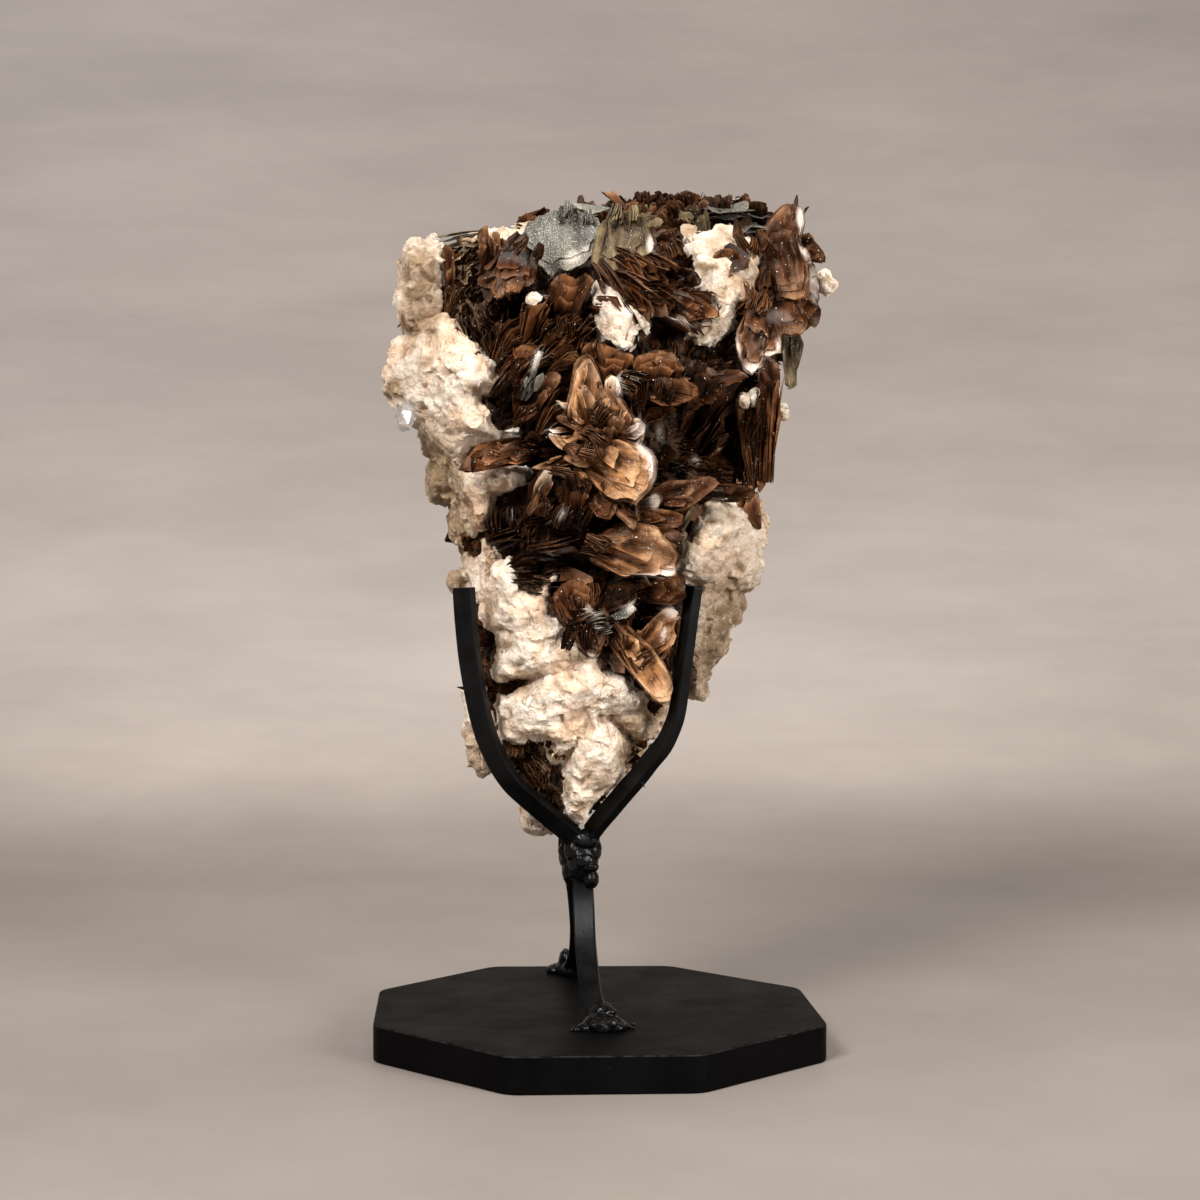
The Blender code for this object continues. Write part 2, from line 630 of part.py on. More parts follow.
def build_books(collection):
    dice = random.Random(BACK_SEED)
    for number, row in enumerate(FRONT_BOOKS):
        x, z, aim, lift, turn, length, half_angle, spread, proud = row
        tip = slid_back(x, z, front_depth(x, z) - proud)
        axes = book_axes(aim, lift, turn)
        add_book(number, tip, axes, length, half_angle, spread, dice, collection)
    for number in range(BACK_BOOKS):
        share = (number + 0.5) / BACK_BOOKS
        height = BACK_LOW + (BACK_HIGH - BACK_LOW) * share + dice.uniform(-BACK_SCATTER, BACK_SCATTER)
        angle = math.radians(90 + number * BACK_TURN % BACK_ARC - BACK_ARC / 2)
        place, outward = on_body(angle, height)
        growth = (outward + scattered(dice, 0.8)).normalized()
        width = growth.cross(scattered(dice, 1)).normalized()
        axes = (growth, width, growth.cross(width))
        length = dice.uniform(*BACK_LENGTHS)
        half_angle, spread = dice.uniform(*BACK_HALF_ANGLES), dice.uniform(*BACK_SPREADS)
        tip = place + growth * BACK_PROUD
        add_book(100 + number, tip, axes, length, half_angle, spread, dice, collection)


def build_specimen(collection, arms, material):
    rock = build_rock(collection)
    books = new_collection("mica_books")
    build_books(books)
    join = rock.modifiers.new("books", "BOOLEAN")
    join.operation = "UNION"
    join.operand_type = "COLLECTION"
    join.collection = books
    for arm in arms:
        cut_away(rock, arm)
    bake_modifiers(rock)
    keep_largest_island(rock.data)
    rock.data.materials.clear()
    rock.data.materials.append(material)
    return rock


def floor_block(top, collection):
    """What lies below the top of the base, with the clearance on it."""
    bm = bmesh.new()
    bmesh.ops.create_cube(bm, size=1)
    for vert in bm.verts:
        vert.co = vert.co * FLOOR_BLOCK + Vector((0, 0, top - FLOOR_BLOCK / 2))
    block = object_from(bm, "floor_block", collection)
    as_cutter(block)
    return block


def build_bars(collection, helpers, floor):
    """The five bars, each cut back where it meets an earlier one, and the room that each takes up."""
    rooms = {}
    for name, (points, facing) in BARS.items():
        bar = bar_object(name, points, facing, collection)
        bar.data.materials.append(principled(name + "_paint", METAL_BLACK, 0.42, 0.0))
        for room in rooms.values():
            cut_away(bar, room)
        cut_away(bar, floor)
        reach = longer(points, GAP, GAP)
        rooms[name] = bar_object(name + "_room", reach, facing, helpers, GAP)
        as_cutter(rooms[name])
    for name in BARS:
        bake_modifiers(collection.objects[name])
        keep_largest_island(collection.objects[name].data)
    return rooms


def build_welds(collection, rooms, floor):
    paint = principled("weld_paint", METAL_BLACK, 0.30, 0.0)
    for name, drops in WELDS.items():
        bead = bead_object(name, drops, collection)
        for cutter in (*rooms.values(), floor):
            cut_away(bead, cutter)
        bake_modifiers(bead)
        keep_largest_island(bead.data)
        bead.data.materials.clear()
        bead.data.materials.append(paint)


def build():
    clear_scene()
    parts = new_collection("mica_specimen_on_stand")
    helpers = new_collection("helpers")
    build_base(parts, principled("black_stained_wood", WOOD_BLACK, 0.55, 0.0))
    floor = floor_block(BASE_THICKNESS + GAP, helpers)
    rooms = build_bars(parts, helpers, floor)
    build_welds(parts, rooms, floor)
    arms = [rooms[name] for name in ("left_arm", "right_arm", "rear_arm")]
    build_specimen(parts, arms, principled("feldspar_and_mica", ROCK_CREAM, 0.6, 0.0))


build()
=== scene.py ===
"""Looks of the mica and feldspar specimen on its three-armed steel stand.

Metres, +Z up, origin in the middle of the board's underside, front towards -Y.
"""

import math
import random

import bpy
import numpy as np
from mathutils import Matrix, Vector, noise
from mathutils.bvhtree import BVHTree


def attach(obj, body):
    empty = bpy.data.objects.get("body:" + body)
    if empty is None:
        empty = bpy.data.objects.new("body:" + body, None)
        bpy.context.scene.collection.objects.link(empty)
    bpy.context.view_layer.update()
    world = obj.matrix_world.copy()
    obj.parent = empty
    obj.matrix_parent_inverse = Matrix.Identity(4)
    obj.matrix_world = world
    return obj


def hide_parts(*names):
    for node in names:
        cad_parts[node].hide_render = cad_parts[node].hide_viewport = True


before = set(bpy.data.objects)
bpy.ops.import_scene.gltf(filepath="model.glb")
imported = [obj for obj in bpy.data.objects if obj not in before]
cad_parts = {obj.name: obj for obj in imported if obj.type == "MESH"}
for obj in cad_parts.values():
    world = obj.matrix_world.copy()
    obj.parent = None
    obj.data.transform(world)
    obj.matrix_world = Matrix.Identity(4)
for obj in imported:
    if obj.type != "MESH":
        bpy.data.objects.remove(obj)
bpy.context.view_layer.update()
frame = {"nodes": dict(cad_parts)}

# Board
# The real foot is a hand-sawn octagonal board, painted satin black with a brush.
# Its corners are rounded, and its rounded top edge is a little paler in patches: partly rubbed paint, partly a painted
# highlight.
BOARD_THICKNESS = 0.017
BOARD_CORNER_ROUND = 0.005
BOARD_EDGE_ROUND = 0.0009
BOARD_CORNERS = (
    (-0.042, -0.103),
    (0.042, -0.104),
    (0.104, -0.045),
    (0.102, 0.040),
    (0.044, 0.101),
    (-0.045, 0.104),
    (-0.100, 0.046),
    (-0.101, -0.035),
)
BLACK_PAINT = (0.0015, 0.0014, 0.0014, 1)
# Paler paint for the rounded top edge: partly rubbed paint, partly a painted highlight.
RUBBED_AND_LIT_PAINT = (0.022, 0.020, 0.019, 1)


def pick_only(*pieces):
    bpy.ops.object.select_all(action="DESELECT")
    for piece in pieces:
        piece.select_set(True)
    bpy.context.view_layer.objects.active = pieces[0] if pieces else None


def apply_all(piece):
    pick_only(piece)
    for modifier in list(piece.modifiers):
        bpy.ops.object.modifier_apply(modifier=modifier.name)


def point_array(mesh):
    flat = np.empty(len(mesh.vertices) * 3, np.float32)
    mesh.vertices.foreach_get("co", flat)
    return flat.reshape(-1, 3).astype(float)


def normal_array(mesh):
    flat = np.empty(len(mesh.vertices) * 3, np.float32)
    mesh.vertex_normals.foreach_get("vector", flat)
    return flat.reshape(-1, 3).astype(float)


def move_points(mesh, points):
    mesh.vertices.foreach_set("co", points.astype(np.float32).ravel())
    mesh.update()


def mark_points(mesh, name, values):
    """A value for each vertex, for the material to read."""
    marks = mesh.attributes.new(name, "FLOAT", "POINT")
    marks.data.foreach_set("value", np.asarray(values, np.float32))


def crisp(piece, angle):
    """Flat faces shaded flat, with only the rounded edges between them smooth."""
    pick_only(piece)
    bpy.ops.object.shade_smooth_by_angle(angle=math.radians(angle))
    weights = piece.modifiers.new("flat_faces", "WEIGHTED_NORMAL")
    weights.keep_sharp = True
    apply_all(piece)


def dress(piece, material, slot, *nodes):
    piece.data.materials.clear()
    piece.data.materials.append(material)
    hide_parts(*nodes)
    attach(piece, "root")


def add_node(tree, kind, sockets=None, **settings):
    node = tree.nodes.new(kind)
    for name, value in settings.items():
        setattr(node, name, value)
    for name, value in (sockets or {}).items():
        socket = node.inputs[name]
        if isinstance(value, bpy.types.NodeSocket):
            tree.links.new(value, socket)
        else:
            socket.default_value = value
    return node


def new_finish(name, roughness):
    material = bpy.data.materials.new(name)
    material.use_nodes = True
    shader = material.node_tree.nodes["Principled BSDF"]
    shader.inputs["Roughness"].default_value = roughness
    return material, material.node_tree, shader


def noise_value(tree, place, scale, detail=4, roughness=0.55, distortion=0.0):
    made = add_node(
        tree,
        "ShaderNodeTexNoise",
        {
            "Vector": place,
            "Scale": scale,
            "Detail": detail,
            "Roughness": roughness,
            "Distortion": distortion,
        },
    )
    return made.outputs["Fac"]


def ramp(tree, value, *stops):
    """Colour stops: (place, colour)."""
    made = add_node(tree, "ShaderNodeValToRGB", {"Fac": value})
    points = made.color_ramp.elements
    while len(points) < len(stops):
        points.new(0.5)
    for point, (place, colour) in zip(points, stops):
        point.position = place
        point.color = colour if len(colour) == 4 else (*colour, 1)
    return made.outputs["Color"]


def spread(tree, value, low, high, new_low=0.0, new_high=1.0):
    made = add_node(
        tree,
        "ShaderNodeMapRange",
        {
            "Value": value,
            "From Min": low,
            "From Max": high,
            "To Min": new_low,
            "To Max": new_high,
        },
    )
    return made.outputs["Result"]


def sums(tree, operation, first, second):
    made = add_node(tree, "ShaderNodeMath", operation=operation)
    for socket, value in zip(made.inputs, (first, second)):
        if isinstance(value, bpy.types.NodeSocket):
            tree.links.new(value, socket)
        else:
            socket.default_value = value
    return made.outputs[0]


def mixed(tree, share, first, second, blend="MIX"):
    made = add_node(tree, "ShaderNodeMix", data_type="RGBA", blend_type=blend)
    for socket, value in zip((made.inputs[0], made.inputs[6], made.inputs[7]), (share, first, second)):
        if isinstance(value, bpy.types.NodeSocket):
            tree.links.new(value, socket)
        else:
            socket.default_value = value
    return made.outputs[2]


def bump(tree, height, strength, distance):
    made = add_node(
        tree, "ShaderNodeBump", {"Height": height, "Strength": strength, "Distance": distance}
    )
    return made.outputs["Normal"]


def object_place(tree, stretch=(1, 1, 1)):
    place = add_node(tree, "ShaderNodeTexCoord").outputs["Object"]
    return add_node(tree, "ShaderNodeMapping", {"Vector": place, "Scale": stretch}).outputs["Vector"]


bpy.ops.object.select_all(action="DESELECT")
bpy.ops.mesh.primitive_cylinder_add(
    vertices=8, radius=0.1, depth=BOARD_THICKNESS, location=(0, 0, BOARD_THICKNESS / 2)
)
board = bpy.context.object
board.name = "octagonal_board"
bpy.ops.object.transform_apply(location=True)
for vert in board.data.vertices:
    step = round(math.degrees(math.atan2(vert.co.y, vert.co.x)) / 45)
    vert.co = (*BOARD_CORNERS[(step + 2) % 8], vert.co.z)
bpy.ops.object.mode_set(mode="EDIT")
bpy.ops.mesh.select_mode(type="EDGE")
bpy.ops.mesh.select_all(action="DESELECT")
bpy.ops.object.mode_set(mode="OBJECT")
for edge in board.data.edges:
    low, high = (board.data.vertices[i].co.z for i in edge.vertices)
    edge.select = abs(low - high) > BOARD_THICKNESS / 2
bpy.ops.object.mode_set(mode="EDIT")
bpy.ops.mesh.bevel(offset=BOARD_CORNER_ROUND, segments=6, affect="EDGES")
bpy.ops.mesh.select_mode(type="VERT")
bpy.ops.object.mode_set(mode="OBJECT")
edge_round = board.modifiers.new("edge_round", "BEVEL")
edge_round.width = BOARD_EDGE_ROUND
edge_round.segments = 3
edge_round.limit_method = "ANGLE"
edge_round.angle_limit = math.radians(60)
apply_all(board)
crisp(board, 40)

board_finish, tree, shader = new_finish("satin_black_board", 0.42)
brushed = noise_value(tree, object_place(tree, (22, 420, 420)), 1.0, 3)
clouds = noise_value(tree, object_place(tree), 38, 5, 0.6)
dots = noise_value(tree, object_place(tree), 900, 2)
level = add_node(tree, "ShaderNodeSeparateXYZ", {"Vector": object_place(tree)}).outputs["Z"]
# Paler patches on the rounded top edge: partly rubbed paint, partly a painted highlight where the edge catches the
# light.
top_edge_band = sums(
    tree, "MULTIPLY", spread(tree, level, BOARD_THICKNESS - BOARD_EDGE_ROUND, BOARD_THICKNESS - 0.0005),
    spread(tree, level, BOARD_THICKNESS - 0.0002, BOARD_THICKNESS - 0.00002, 1.0, 0.0),
)
rub_and_highlight = sums(tree, "MULTIPLY", top_edge_band, spread(tree, noise_value(tree, object_place(tree), 260), 0.35, 0.6))
paint = mixed(tree, spread(tree, clouds, 0.35, 0.7, 0.0, 0.40), BLACK_PAINT, (0.0052, 0.0047, 0.0046, 1))
paint = mixed(tree, spread(tree, dots, 0.72, 0.78, 0.0, 0.2), paint, (0.06, 0.055, 0.05, 1))
paint = mixed(tree, rub_and_highlight, paint, RUBBED_AND_LIT_PAINT)
tree.links.new(paint, shader.inputs["Base Color"])
tree.links.new(spread(tree, clouds, 0.3, 0.75, 0.42, 0.60), shader.inputs["Roughness"])
tree.links.new(bump(tree, brushed, 0.25, 0.0003), shader.inputs["Normal"])
shader.inputs["Specular IOR Level"].default_value = 0.03
dress(board, board_finish, "black_base", "base")

# Arms and legs
# Five lengths of 9.5 x 4.8 mm flat steel bar, bent cold by hand: three arms cradle the rock and
# two legs carry them. They are sprayed satin black after welding.
BAR_WIDTH = 0.0095
BAR_THICKNESS = 0.0048
BAR_EDGE = 0.0007
BAR_STEP = 0.0025
# Each bar's points, and the direction its flat side faces, in degrees from the front to the left
BARS = {
    "left_arm": (30, (
        (-0.0595, -0.0420, 0.2145),
        (-0.0586, -0.0420, 0.2000),
        (-0.0568, -0.0410, 0.1821),
        (-0.0537, -0.0390, 0.1640),
        (-0.0501, -0.0360, 0.1493),
        (-0.0447, -0.0320, 0.1362),
        (-0.0379, -0.0270, 0.1252),
        (-0.0295, -0.0200, 0.1165),
        (-0.0201, -0.0120, 0.1076),
        (-0.0106, -0.0060, 0.0990),
        (-0.0060, -0.0040, 0.0930),
    )),
    "right_arm": (72, (
        (0.0438, -0.0380, 0.2147),
        (0.0416, -0.0380, 0.1994),
        (0.0403, -0.0375, 0.1882),
        (0.0388, -0.0365, 0.1769),
        (0.0376, -0.0350, 0.1655),
        (0.0362, -0.0335, 0.1563),
        (0.0339, -0.0320, 0.1493),
        (0.0307, -0.0300, 0.1424),
        (0.0252, -0.0270, 0.1352),
        (0.0202, -0.0235, 0.1280),
        (0.0144, -0.0195, 0.1207),
        (0.0089, -0.0150, 0.1133),
        (0.0033, -0.0100, 0.1058),
        (-0.0014, -0.0055, 0.0987),
    )),
    "rear_arm": (0, (
        (-0.0040, 0.0660, 0.2150),
        (-0.0048, 0.0650, 0.1950),
        (-0.0060, 0.0610, 0.1700),
        (-0.0075, 0.0520, 0.1450),
        (-0.0088, 0.0380, 0.1240),
        (-0.0100, 0.0220, 0.1070),
        (-0.0106, 0.0110, 0.0960),
        (-0.0108, 0.0070, 0.0880),
    )),
    "front_leg": (8, (
        (-0.0044, -0.0005, 0.0880),
        (-0.0044, -0.0015, 0.0730),
        (-0.0041, -0.0050, 0.0620),
        (-0.0039, -0.0120, 0.0500),
        (-0.0032, -0.0220, 0.0390),
        (-0.0021, -0.0340, 0.0290),
        (0.0003, -0.0440, 0.0210),
        (0.0012, -0.0490, 0.0173),
    )),
    "rear_leg": (8, (
        (-0.0089, 0.0062, 0.0850),
        (-0.0076, 0.0072, 0.0770),
        (-0.0060, 0.0130, 0.0660),
        (-0.0044, 0.0270, 0.0500),
        (-0.0040, 0.0470, 0.0350),
        (-0.0048, 0.0680, 0.0240),
        (-0.0056, 0.0830, 0.0173),
    )),
}
# Burrs left by the grinder: (tip, direction)
BURRS = {
    "left_arm": ((-0.0612, -0.0440, 0.1700), (-1, -0.2, 0.2)),
    "right_arm": ((0.0216, -0.0270, 0.1240), (0.6, -0.3, -0.9)),
}


def mesh_piece(name, points, faces):
    mesh = bpy.data.meshes.new(name)
    mesh.from_pydata([tuple(p) for p in points], [], [tuple(f) for f in faces])
    piece = bpy.data.objects.new(name, mesh)
    bpy.context.scene.collection.objects.link(piece)
    return piece


def smooth_path(points, step):
    """An even run of points on the smooth curve through these."""
    known = np.array(points)
    padded = np.vstack((2 * known[0] - known[1], known, 2 * known[-1] - known[-2]))
    fine = []
    for before, start, end, after in zip(padded, padded[1:], padded[2:], padded[3:]):
        count = max(2, round(float(np.linalg.norm(end - start)) / step))
        for share in np.arange(count) / count:
            fine.append(
                0.5
                * (
                    2 * start
                    + (end - before) * share
                    + (2 * before - 5 * start + 4 * end - after) * share**2
                    + (3 * start - before - 3 * end + after) * share**3
                )
            )
    fine.append(known[-1])
    return np.array(fine)


BAR_PATHS = {name: smooth_path(points, BAR_STEP) for name, (facing, points) in BARS.items()}


def bar_frames(name):
    """The middle line of a bar, with its direction, its flat side's and its narrow side's at each point."""
    path, turn = BAR_PATHS[name], math.radians(BARS[name][0])
    along = np.gradient(path, axis=0)
    along /= np.linalg.norm(along, axis=1)[:, None]
    faced = np.array((-math.sin(turn), -math.cos(turn), 0))
    out = faced - along * (along @ faced)[:, None]
    out /= np.linalg.norm(out, axis=1)[:, None]
    return path, along, out, np.cross(along, out)


def bend_bar(name):
    path, along, out, across = bar_frames(name)
    half_w, half_t = BAR_WIDTH / 2, BAR_THICKNESS / 2
    rings = np.stack([
        path + across * w + out * t
        for w, t in ((-half_w, half_t), (-half_w, -half_t), (half_w, -half_t), (half_w, half_t))
    ], 1)
    faces = [(0, 1, 2, 3)]
    for start in range(0, 4 * (len(path) - 1), 4):
        faces += [(start + i, start + i + 4, start + (i + 1) % 4 + 4, start + (i + 1) % 4) for i in range(4)]
    last = 4 * (len(path) - 1)
    faces.append((last + 3, last + 2, last + 1, last))
    bar = mesh_piece(name + "_bar", rings.reshape(-1, 3), faces)
    pick_only(bar)
    bpy.ops.object.mode_set(mode="EDIT")
    bpy.ops.mesh.select_all(action="SELECT")
    bpy.ops.mesh.normals_make_consistent(inside=False)
    bpy.ops.object.mode_set(mode="OBJECT")
    edges = bar.modifiers.new("edges", "BEVEL")
    edges.width = BAR_EDGE
    edges.segments = 3
    edges.limit_method = "ANGLE"
    edges.angle_limit = math.radians(50)
    apply_all(bar)
    if name in BURRS:
        tip, direction = BURRS[name]
        turn = Vector(direction).to_track_quat("Z", "Y").to_euler()
        bpy.ops.mesh.primitive_cone_add(
            vertices=6, radius1=0.0009, radius2=0.0001, depth=0.0034, location=tip, rotation=turn
        )
        burr = bpy.context.object
        pick_only(bar, burr)
        bpy.ops.object.join()
    crisp(bar, 40)
    return bar


steel_finish, tree, shader = new_finish("satin_black_steel", 0.34)
drawn = noise_value(tree, object_place(tree, (700, 700, 60)), 1.0, 3)
patches = noise_value(tree, object_place(tree), 90, 4, 0.6)
grit = noise_value(tree, object_place(tree), 1400, 2)
paint = mixed(tree, spread(tree, patches, 0.4, 0.75), (0.0032, 0.0031, 0.0032, 1), (0.0070, 0.0066, 0.0066, 1))
paint = mixed(tree, spread(tree, grit, 0.68, 0.74, 0.0, 0.12), paint, (0.06, 0.055, 0.05, 1))
tree.links.new(paint, shader.inputs["Base Color"])
tree.links.new(spread(tree, patches, 0.3, 0.75, 0.27, 0.46), shader.inputs["Roughness"])
grain = bump(tree, sums(tree, "ADD", drawn, sums(tree, "MULTIPLY", grit, 0.5)), 0.3, 0.0002)
tree.links.new(grain, shader.inputs["Normal"])
shader.inputs["Specular IOR Level"].default_value = 0.10
for name in BARS:
    dress(bend_bar(name), steel_finish, "black_steel", name)

# Weld beads
# Lumps of arc weld where the arms meet the legs and where the legs meet the board, laid in
# runs of drops, with spatter, and painted over glossy black.
BEAD_VOXEL = 0.00045
WELDS = {
    "arm_weld": (
        ((-0.0046, -0.0010, 0.0870), (0.0074, 0.0085, 0.0115)),
        ((-0.0002, -0.0030, 0.0908), (0.0046, 0.0052, 0.0052)),
        ((-0.0010, -0.0030, 0.0776), (0.0040, 0.0052, 0.0047)),
        ((-0.0088, -0.0030, 0.0910), (0.0044, 0.0052, 0.0062)),
        ((-0.0094, 0.0030, 0.0800), (0.0048, 0.0066, 0.0070)),
        ((-0.0098, 0.0050, 0.0880), (0.0060, 0.0060, 0.0080)),
        ((-0.0034, -0.0060, 0.0965), (0.0064, 0.0046, 0.0048)),
        ((-0.0044, -0.0086, 0.0868), (0.0048, 0.0022, 0.0032)),
        ((-0.0012, -0.0086, 0.0836), (0.0036, 0.0020, 0.0024)),
    ),
    "front_foot_weld": (
        ((0.0020, -0.0490, 0.0190), (0.0088, 0.0090, 0.0056)),
        ((0.0078, -0.0500, 0.0182), (0.0056, 0.0070, 0.0034)),
        ((-0.0048, -0.0505, 0.0180), (0.0050, 0.0048, 0.0026)),
        ((0.0020, -0.0450, 0.0225), (0.0060, 0.0068, 0.0058)),
        ((0.0052, -0.0548, 0.0205), (0.0034, 0.0030, 0.0030)),
        ((-0.0006, -0.0552, 0.0200), (0.0040, 0.0030, 0.0026)),
        ((0.0050, -0.0490, 0.0245), (0.0032, 0.0034, 0.0024)),
        ((-0.0095, -0.0515, 0.0174), (0.0026, 0.0022, 0.0014)),
    ),
    "rear_foot_weld": (
        ((-0.0070, 0.0830, 0.0190), (0.0076, 0.0090, 0.0050)),
        ((-0.0125, 0.0860, 0.0184), (0.0060, 0.0060, 0.0034)),
        ((-0.0090, 0.0830, 0.0230), (0.0034, 0.0046, 0.0066)),
        ((-0.0056, 0.0750, 0.0205), (0.0056, 0.0066, 0.0050)),
    ),
}
# Spatter stuck to the board beside the front foot: (place, radius)
SPATTER = (
    ((0.0138, -0.0490, 0.0180), 0.0014),
    ((0.0160, -0.0475, 0.0186), 0.0010),
    ((0.0150, -0.0510, 0.0176), 0.0009),
    ((0.0122, -0.0540, 0.0175), 0.0008),
    ((-0.0125, -0.0530, 0.0173), 0.0006),
)


def lay_bead(name, drops):
    lumps = []
    for centre, radii in drops:
        bpy.ops.mesh.primitive_ico_sphere_add(subdivisions=3, radius=1, location=centre)
        bpy.context.object.scale = radii
        lumps.append(bpy.context.object)
    if name == "front_foot_weld":
        for centre, radius in SPATTER:
            bpy.ops.mesh.primitive_ico_sphere_add(subdivisions=2, radius=radius * 0.8, location=centre)
            bpy.context.object.scale = (1.3, 0.8, 1.1)
            lumps.append(bpy.context.object)
    pick_only(*lumps)
    bpy.ops.object.join()
    bpy.ops.object.transform_apply(location=True, rotation=True, scale=True)
    bead = bpy.context.object
    bead.name = name + "_lumps"
    fuse = bead.modifiers.new("fuse", "REMESH")
    fuse.mode = "VOXEL"
    fuse.voxel_size = BEAD_VOXEL
    apply_all(bead)
    points, outward = point_array(bead.data), normal_array(bead.data)
    ripple = [
        0.0006 * noise.noise(Vector(p) * 260) + 0.0002 * noise.noise(Vector(p) * 800) for p in points
    ]
    points += outward * np.array(ripple)[:, None]
    if name != "arm_weld":
        points[:, 2] = np.maximum(points[:, 2], BOARD_THICKNESS)
    move_points(bead.data, points)
    bpy.ops.object.shade_smooth()
    return bead


weld_finish, tree, shader = new_finish("glossy_black_weld", 0.22)
scale_spots = noise_value(tree, object_place(tree), 420, 4)
paint = mixed(tree, spread(tree, scale_spots, 0.5, 0.75), (0.0020, 0.0019, 0.0019, 1), (0.006, 0.0055, 0.0052, 1))
tree.links.new(paint, shader.inputs["Base Color"])
tree.links.new(spread(tree, scale_spots, 0.3, 0.7, 0.20, 0.42), shader.inputs["Roughness"])
shader.inputs["Specular IOR Level"].default_value = 0.20
tree.links.new(bump(tree, noise_value(tree, object_place(tree), 700, 3), 0.4, 0.0004), shader.inputs["Normal"])
for name, drops in WELDS.items():
    dress(lay_bead(name, drops), weld_finish, "weld_bead", name)

# Dark ground mass
# The inside of the specimen: crumbly brown matrix that the mica and the feldspar grow from.
# It shows in the clefts between the books, on the left flank and low down by the right arm.
EYE = np.array((-0.0658, -1.2507, 0.2722))
# Heights of the body, each with its left, right, front and back limits
CORE_SECTIONS = np.array(
    (
        (0.104, -0.014, 0.002, -0.010, 0.010),
        (0.112, -0.026, 0.008, -0.016, 0.022),
        (0.125, -0.038, 0.018, -0.021, 0.032),
        (0.145, -0.050, 0.030, -0.026, 0.042),
        (0.165, -0.053, 0.040, -0.030, 0.050),
        (0.190, -0.057, 0.054, -0.034, 0.056),
        (0.215, -0.060, 0.064, -0.037, 0.059),
        (0.240, -0.065, 0.076, -0.040, 0.062),
        (0.265, -0.072, 0.082, -0.043, 0.066),
        (0.290, -0.082, 0.086, -0.046, 0.069),
        (0.315, -0.087, 0.089, -0.048, 0.072),
        (0.340, -0.085, 0.096, -0.046, 0.074),
        (0.360, -0.080, 0.097, -0.036, 0.075),
        (0.374, -0.062, 0.090, -0.016, 0.074),
        (0.384, -0.024, 0.080, 0.006, 0.070),
        (0.391, 0.012, 0.066, 0.022, 0.060),
    )
)
CORE_SQUARENESS = 2.6
CORE_SIDES = 48
CORE_SINK = 0.004
CORE_VOXEL = 0.0021
# Clefts between the books: (x, z, half width, half height, depth)
CLEFTS = (
    (-0.023, 0.287, 0.006, 0.014, 0.026),
    (-0.041, 0.298, 0.006, 0.010, 0.018),
    (0.050, 0.288, 0.014, 0.016, 0.024),
    (0.066, 0.280, 0.012, 0.020, 0.020),
    (0.074, 0.303, 0.006, 0.010, 0.018),
    (0.022, 0.212, 0.006, 0.008, 0.014),
    (-0.026, 0.271, 0.006, 0.006, 0.016),
    (0.033, 0.330, 0.004, 0.008, 0.014),
    (-0.035, 0.336, 0.006, 0.008, 0.014),
)
ARM_GAP = 0.0008  # between a bar and the rock behind it
ROCK_MIDDLE = np.array((-0.004, 0.012, 0.150))


def body_limits(height):
    return [np.interp(height, CORE_SECTIONS[:, 0], CORE_SECTIONS[:, i]) for i in range(1, 5)]


def front_depth(x, z):
    """The y of the body's front surface at this x and height."""
    left, right, front, back = body_limits(z)
    offset = np.minimum(np.abs(x - (left + right) / 2) / ((right - left) / 2), 0.97)
    bulge = (1 - offset**CORE_SQUARENESS) ** (1 / CORE_SQUARENESS)
    return (front + back) / 2 - (back - front) / 2 * bulge


def on_body(angle, height):
    """The point of the body's surface at this angle round it, and its outward direction."""
    left, right, front, back = body_limits(height)
    half_x, half_y = (right - left) / 2, (back - front) / 2
    along, across = math.cos(angle), math.sin(angle)
    power = CORE_SQUARENESS
    reach = (abs(along) ** power + abs(across) ** power) ** (-1 / power)
    x = (left + right) / 2 + half_x * reach * along
    y = (front + back) / 2 + half_y * reach * across
    return Vector((x, y, height)), Vector((along * half_y, across * half_x, 0)).normalized()


def slid_back(x, z, y):
    """The points at depth y on the sight lines from EYE through (x, 0, z)."""
    x, z, y = np.broadcast_arrays(x, z, y)
    share = (y - EYE[1]) / -EYE[1]
    return np.stack((EYE[0] + (x - EYE[0]) * share, y, EYE[2] + (z - EYE[2]) * share), -1)


def seen_place(points):
    """The x and z where the sight line from EYE to each point crosses y = 0."""
    share = -EYE[1] / (points[:, 1] - EYE[1])
    return (
        EYE[0] + (points[:, 0] - EYE[0]) * share,
        EYE[2] + (points[:, 2] - EYE[2]) * share,
    )


def clear_of_arms(points):
    """Presses whatever would stand in or outside an arm back to the arm's inner side."""
    points = np.array(points, float)
    for name in ("left_arm", "right_arm", "rear_arm"):
        path, along, out, across = bar_frames(name)
        low, high = path.min(0) - 0.02, path.max(0) + 0.02
        near = np.nonzero(((points > low) & (points < high)).all(1))[0]
        if not len(near):
            continue
        places = points[near]
        nearest = np.linalg.norm(places[:, None] - path[None], axis=2).argmin(1)
        middle, along, out, across = path[nearest], along[nearest], out[nearest], across[nearest]
        inward = ROCK_MIDDLE - middle
        inward[:, 2] = np.maximum(ROCK_MIDDLE[2] - middle[:, 2], 0)
        inward -= along * (inward * along).sum(1)[:, None]
        inward /= np.linalg.norm(inward, axis=1)[:, None] + 1e-9
        sideways = np.cross(along, inward)
        # Half of the bar's size along the two directions
        flat, narrow = BAR_WIDTH / 2, BAR_THICKNESS / 2
        deep = np.abs((inward * out).sum(1)) * narrow + np.abs((inward * across).sum(1)) * flat
        wide = np.abs((sideways * out).sum(1)) * narrow + np.abs((sideways * across).sum(1)) * flat
        offset = places - middle
        past_end = np.abs((offset * along).sum(1)) > 0.003
        aside = np.abs((offset * sideways).sum(1))
        fade = np.clip((aside - wide - ARM_GAP) / 0.003, 0, 1)
        wanted = deep + ARM_GAP - fade**2 * 0.02
        push = np.where(past_end, 0, np.maximum(wanted - (offset * inward).sum(1), 0))
        points[near] = places + inward * push[:, None]
    return points


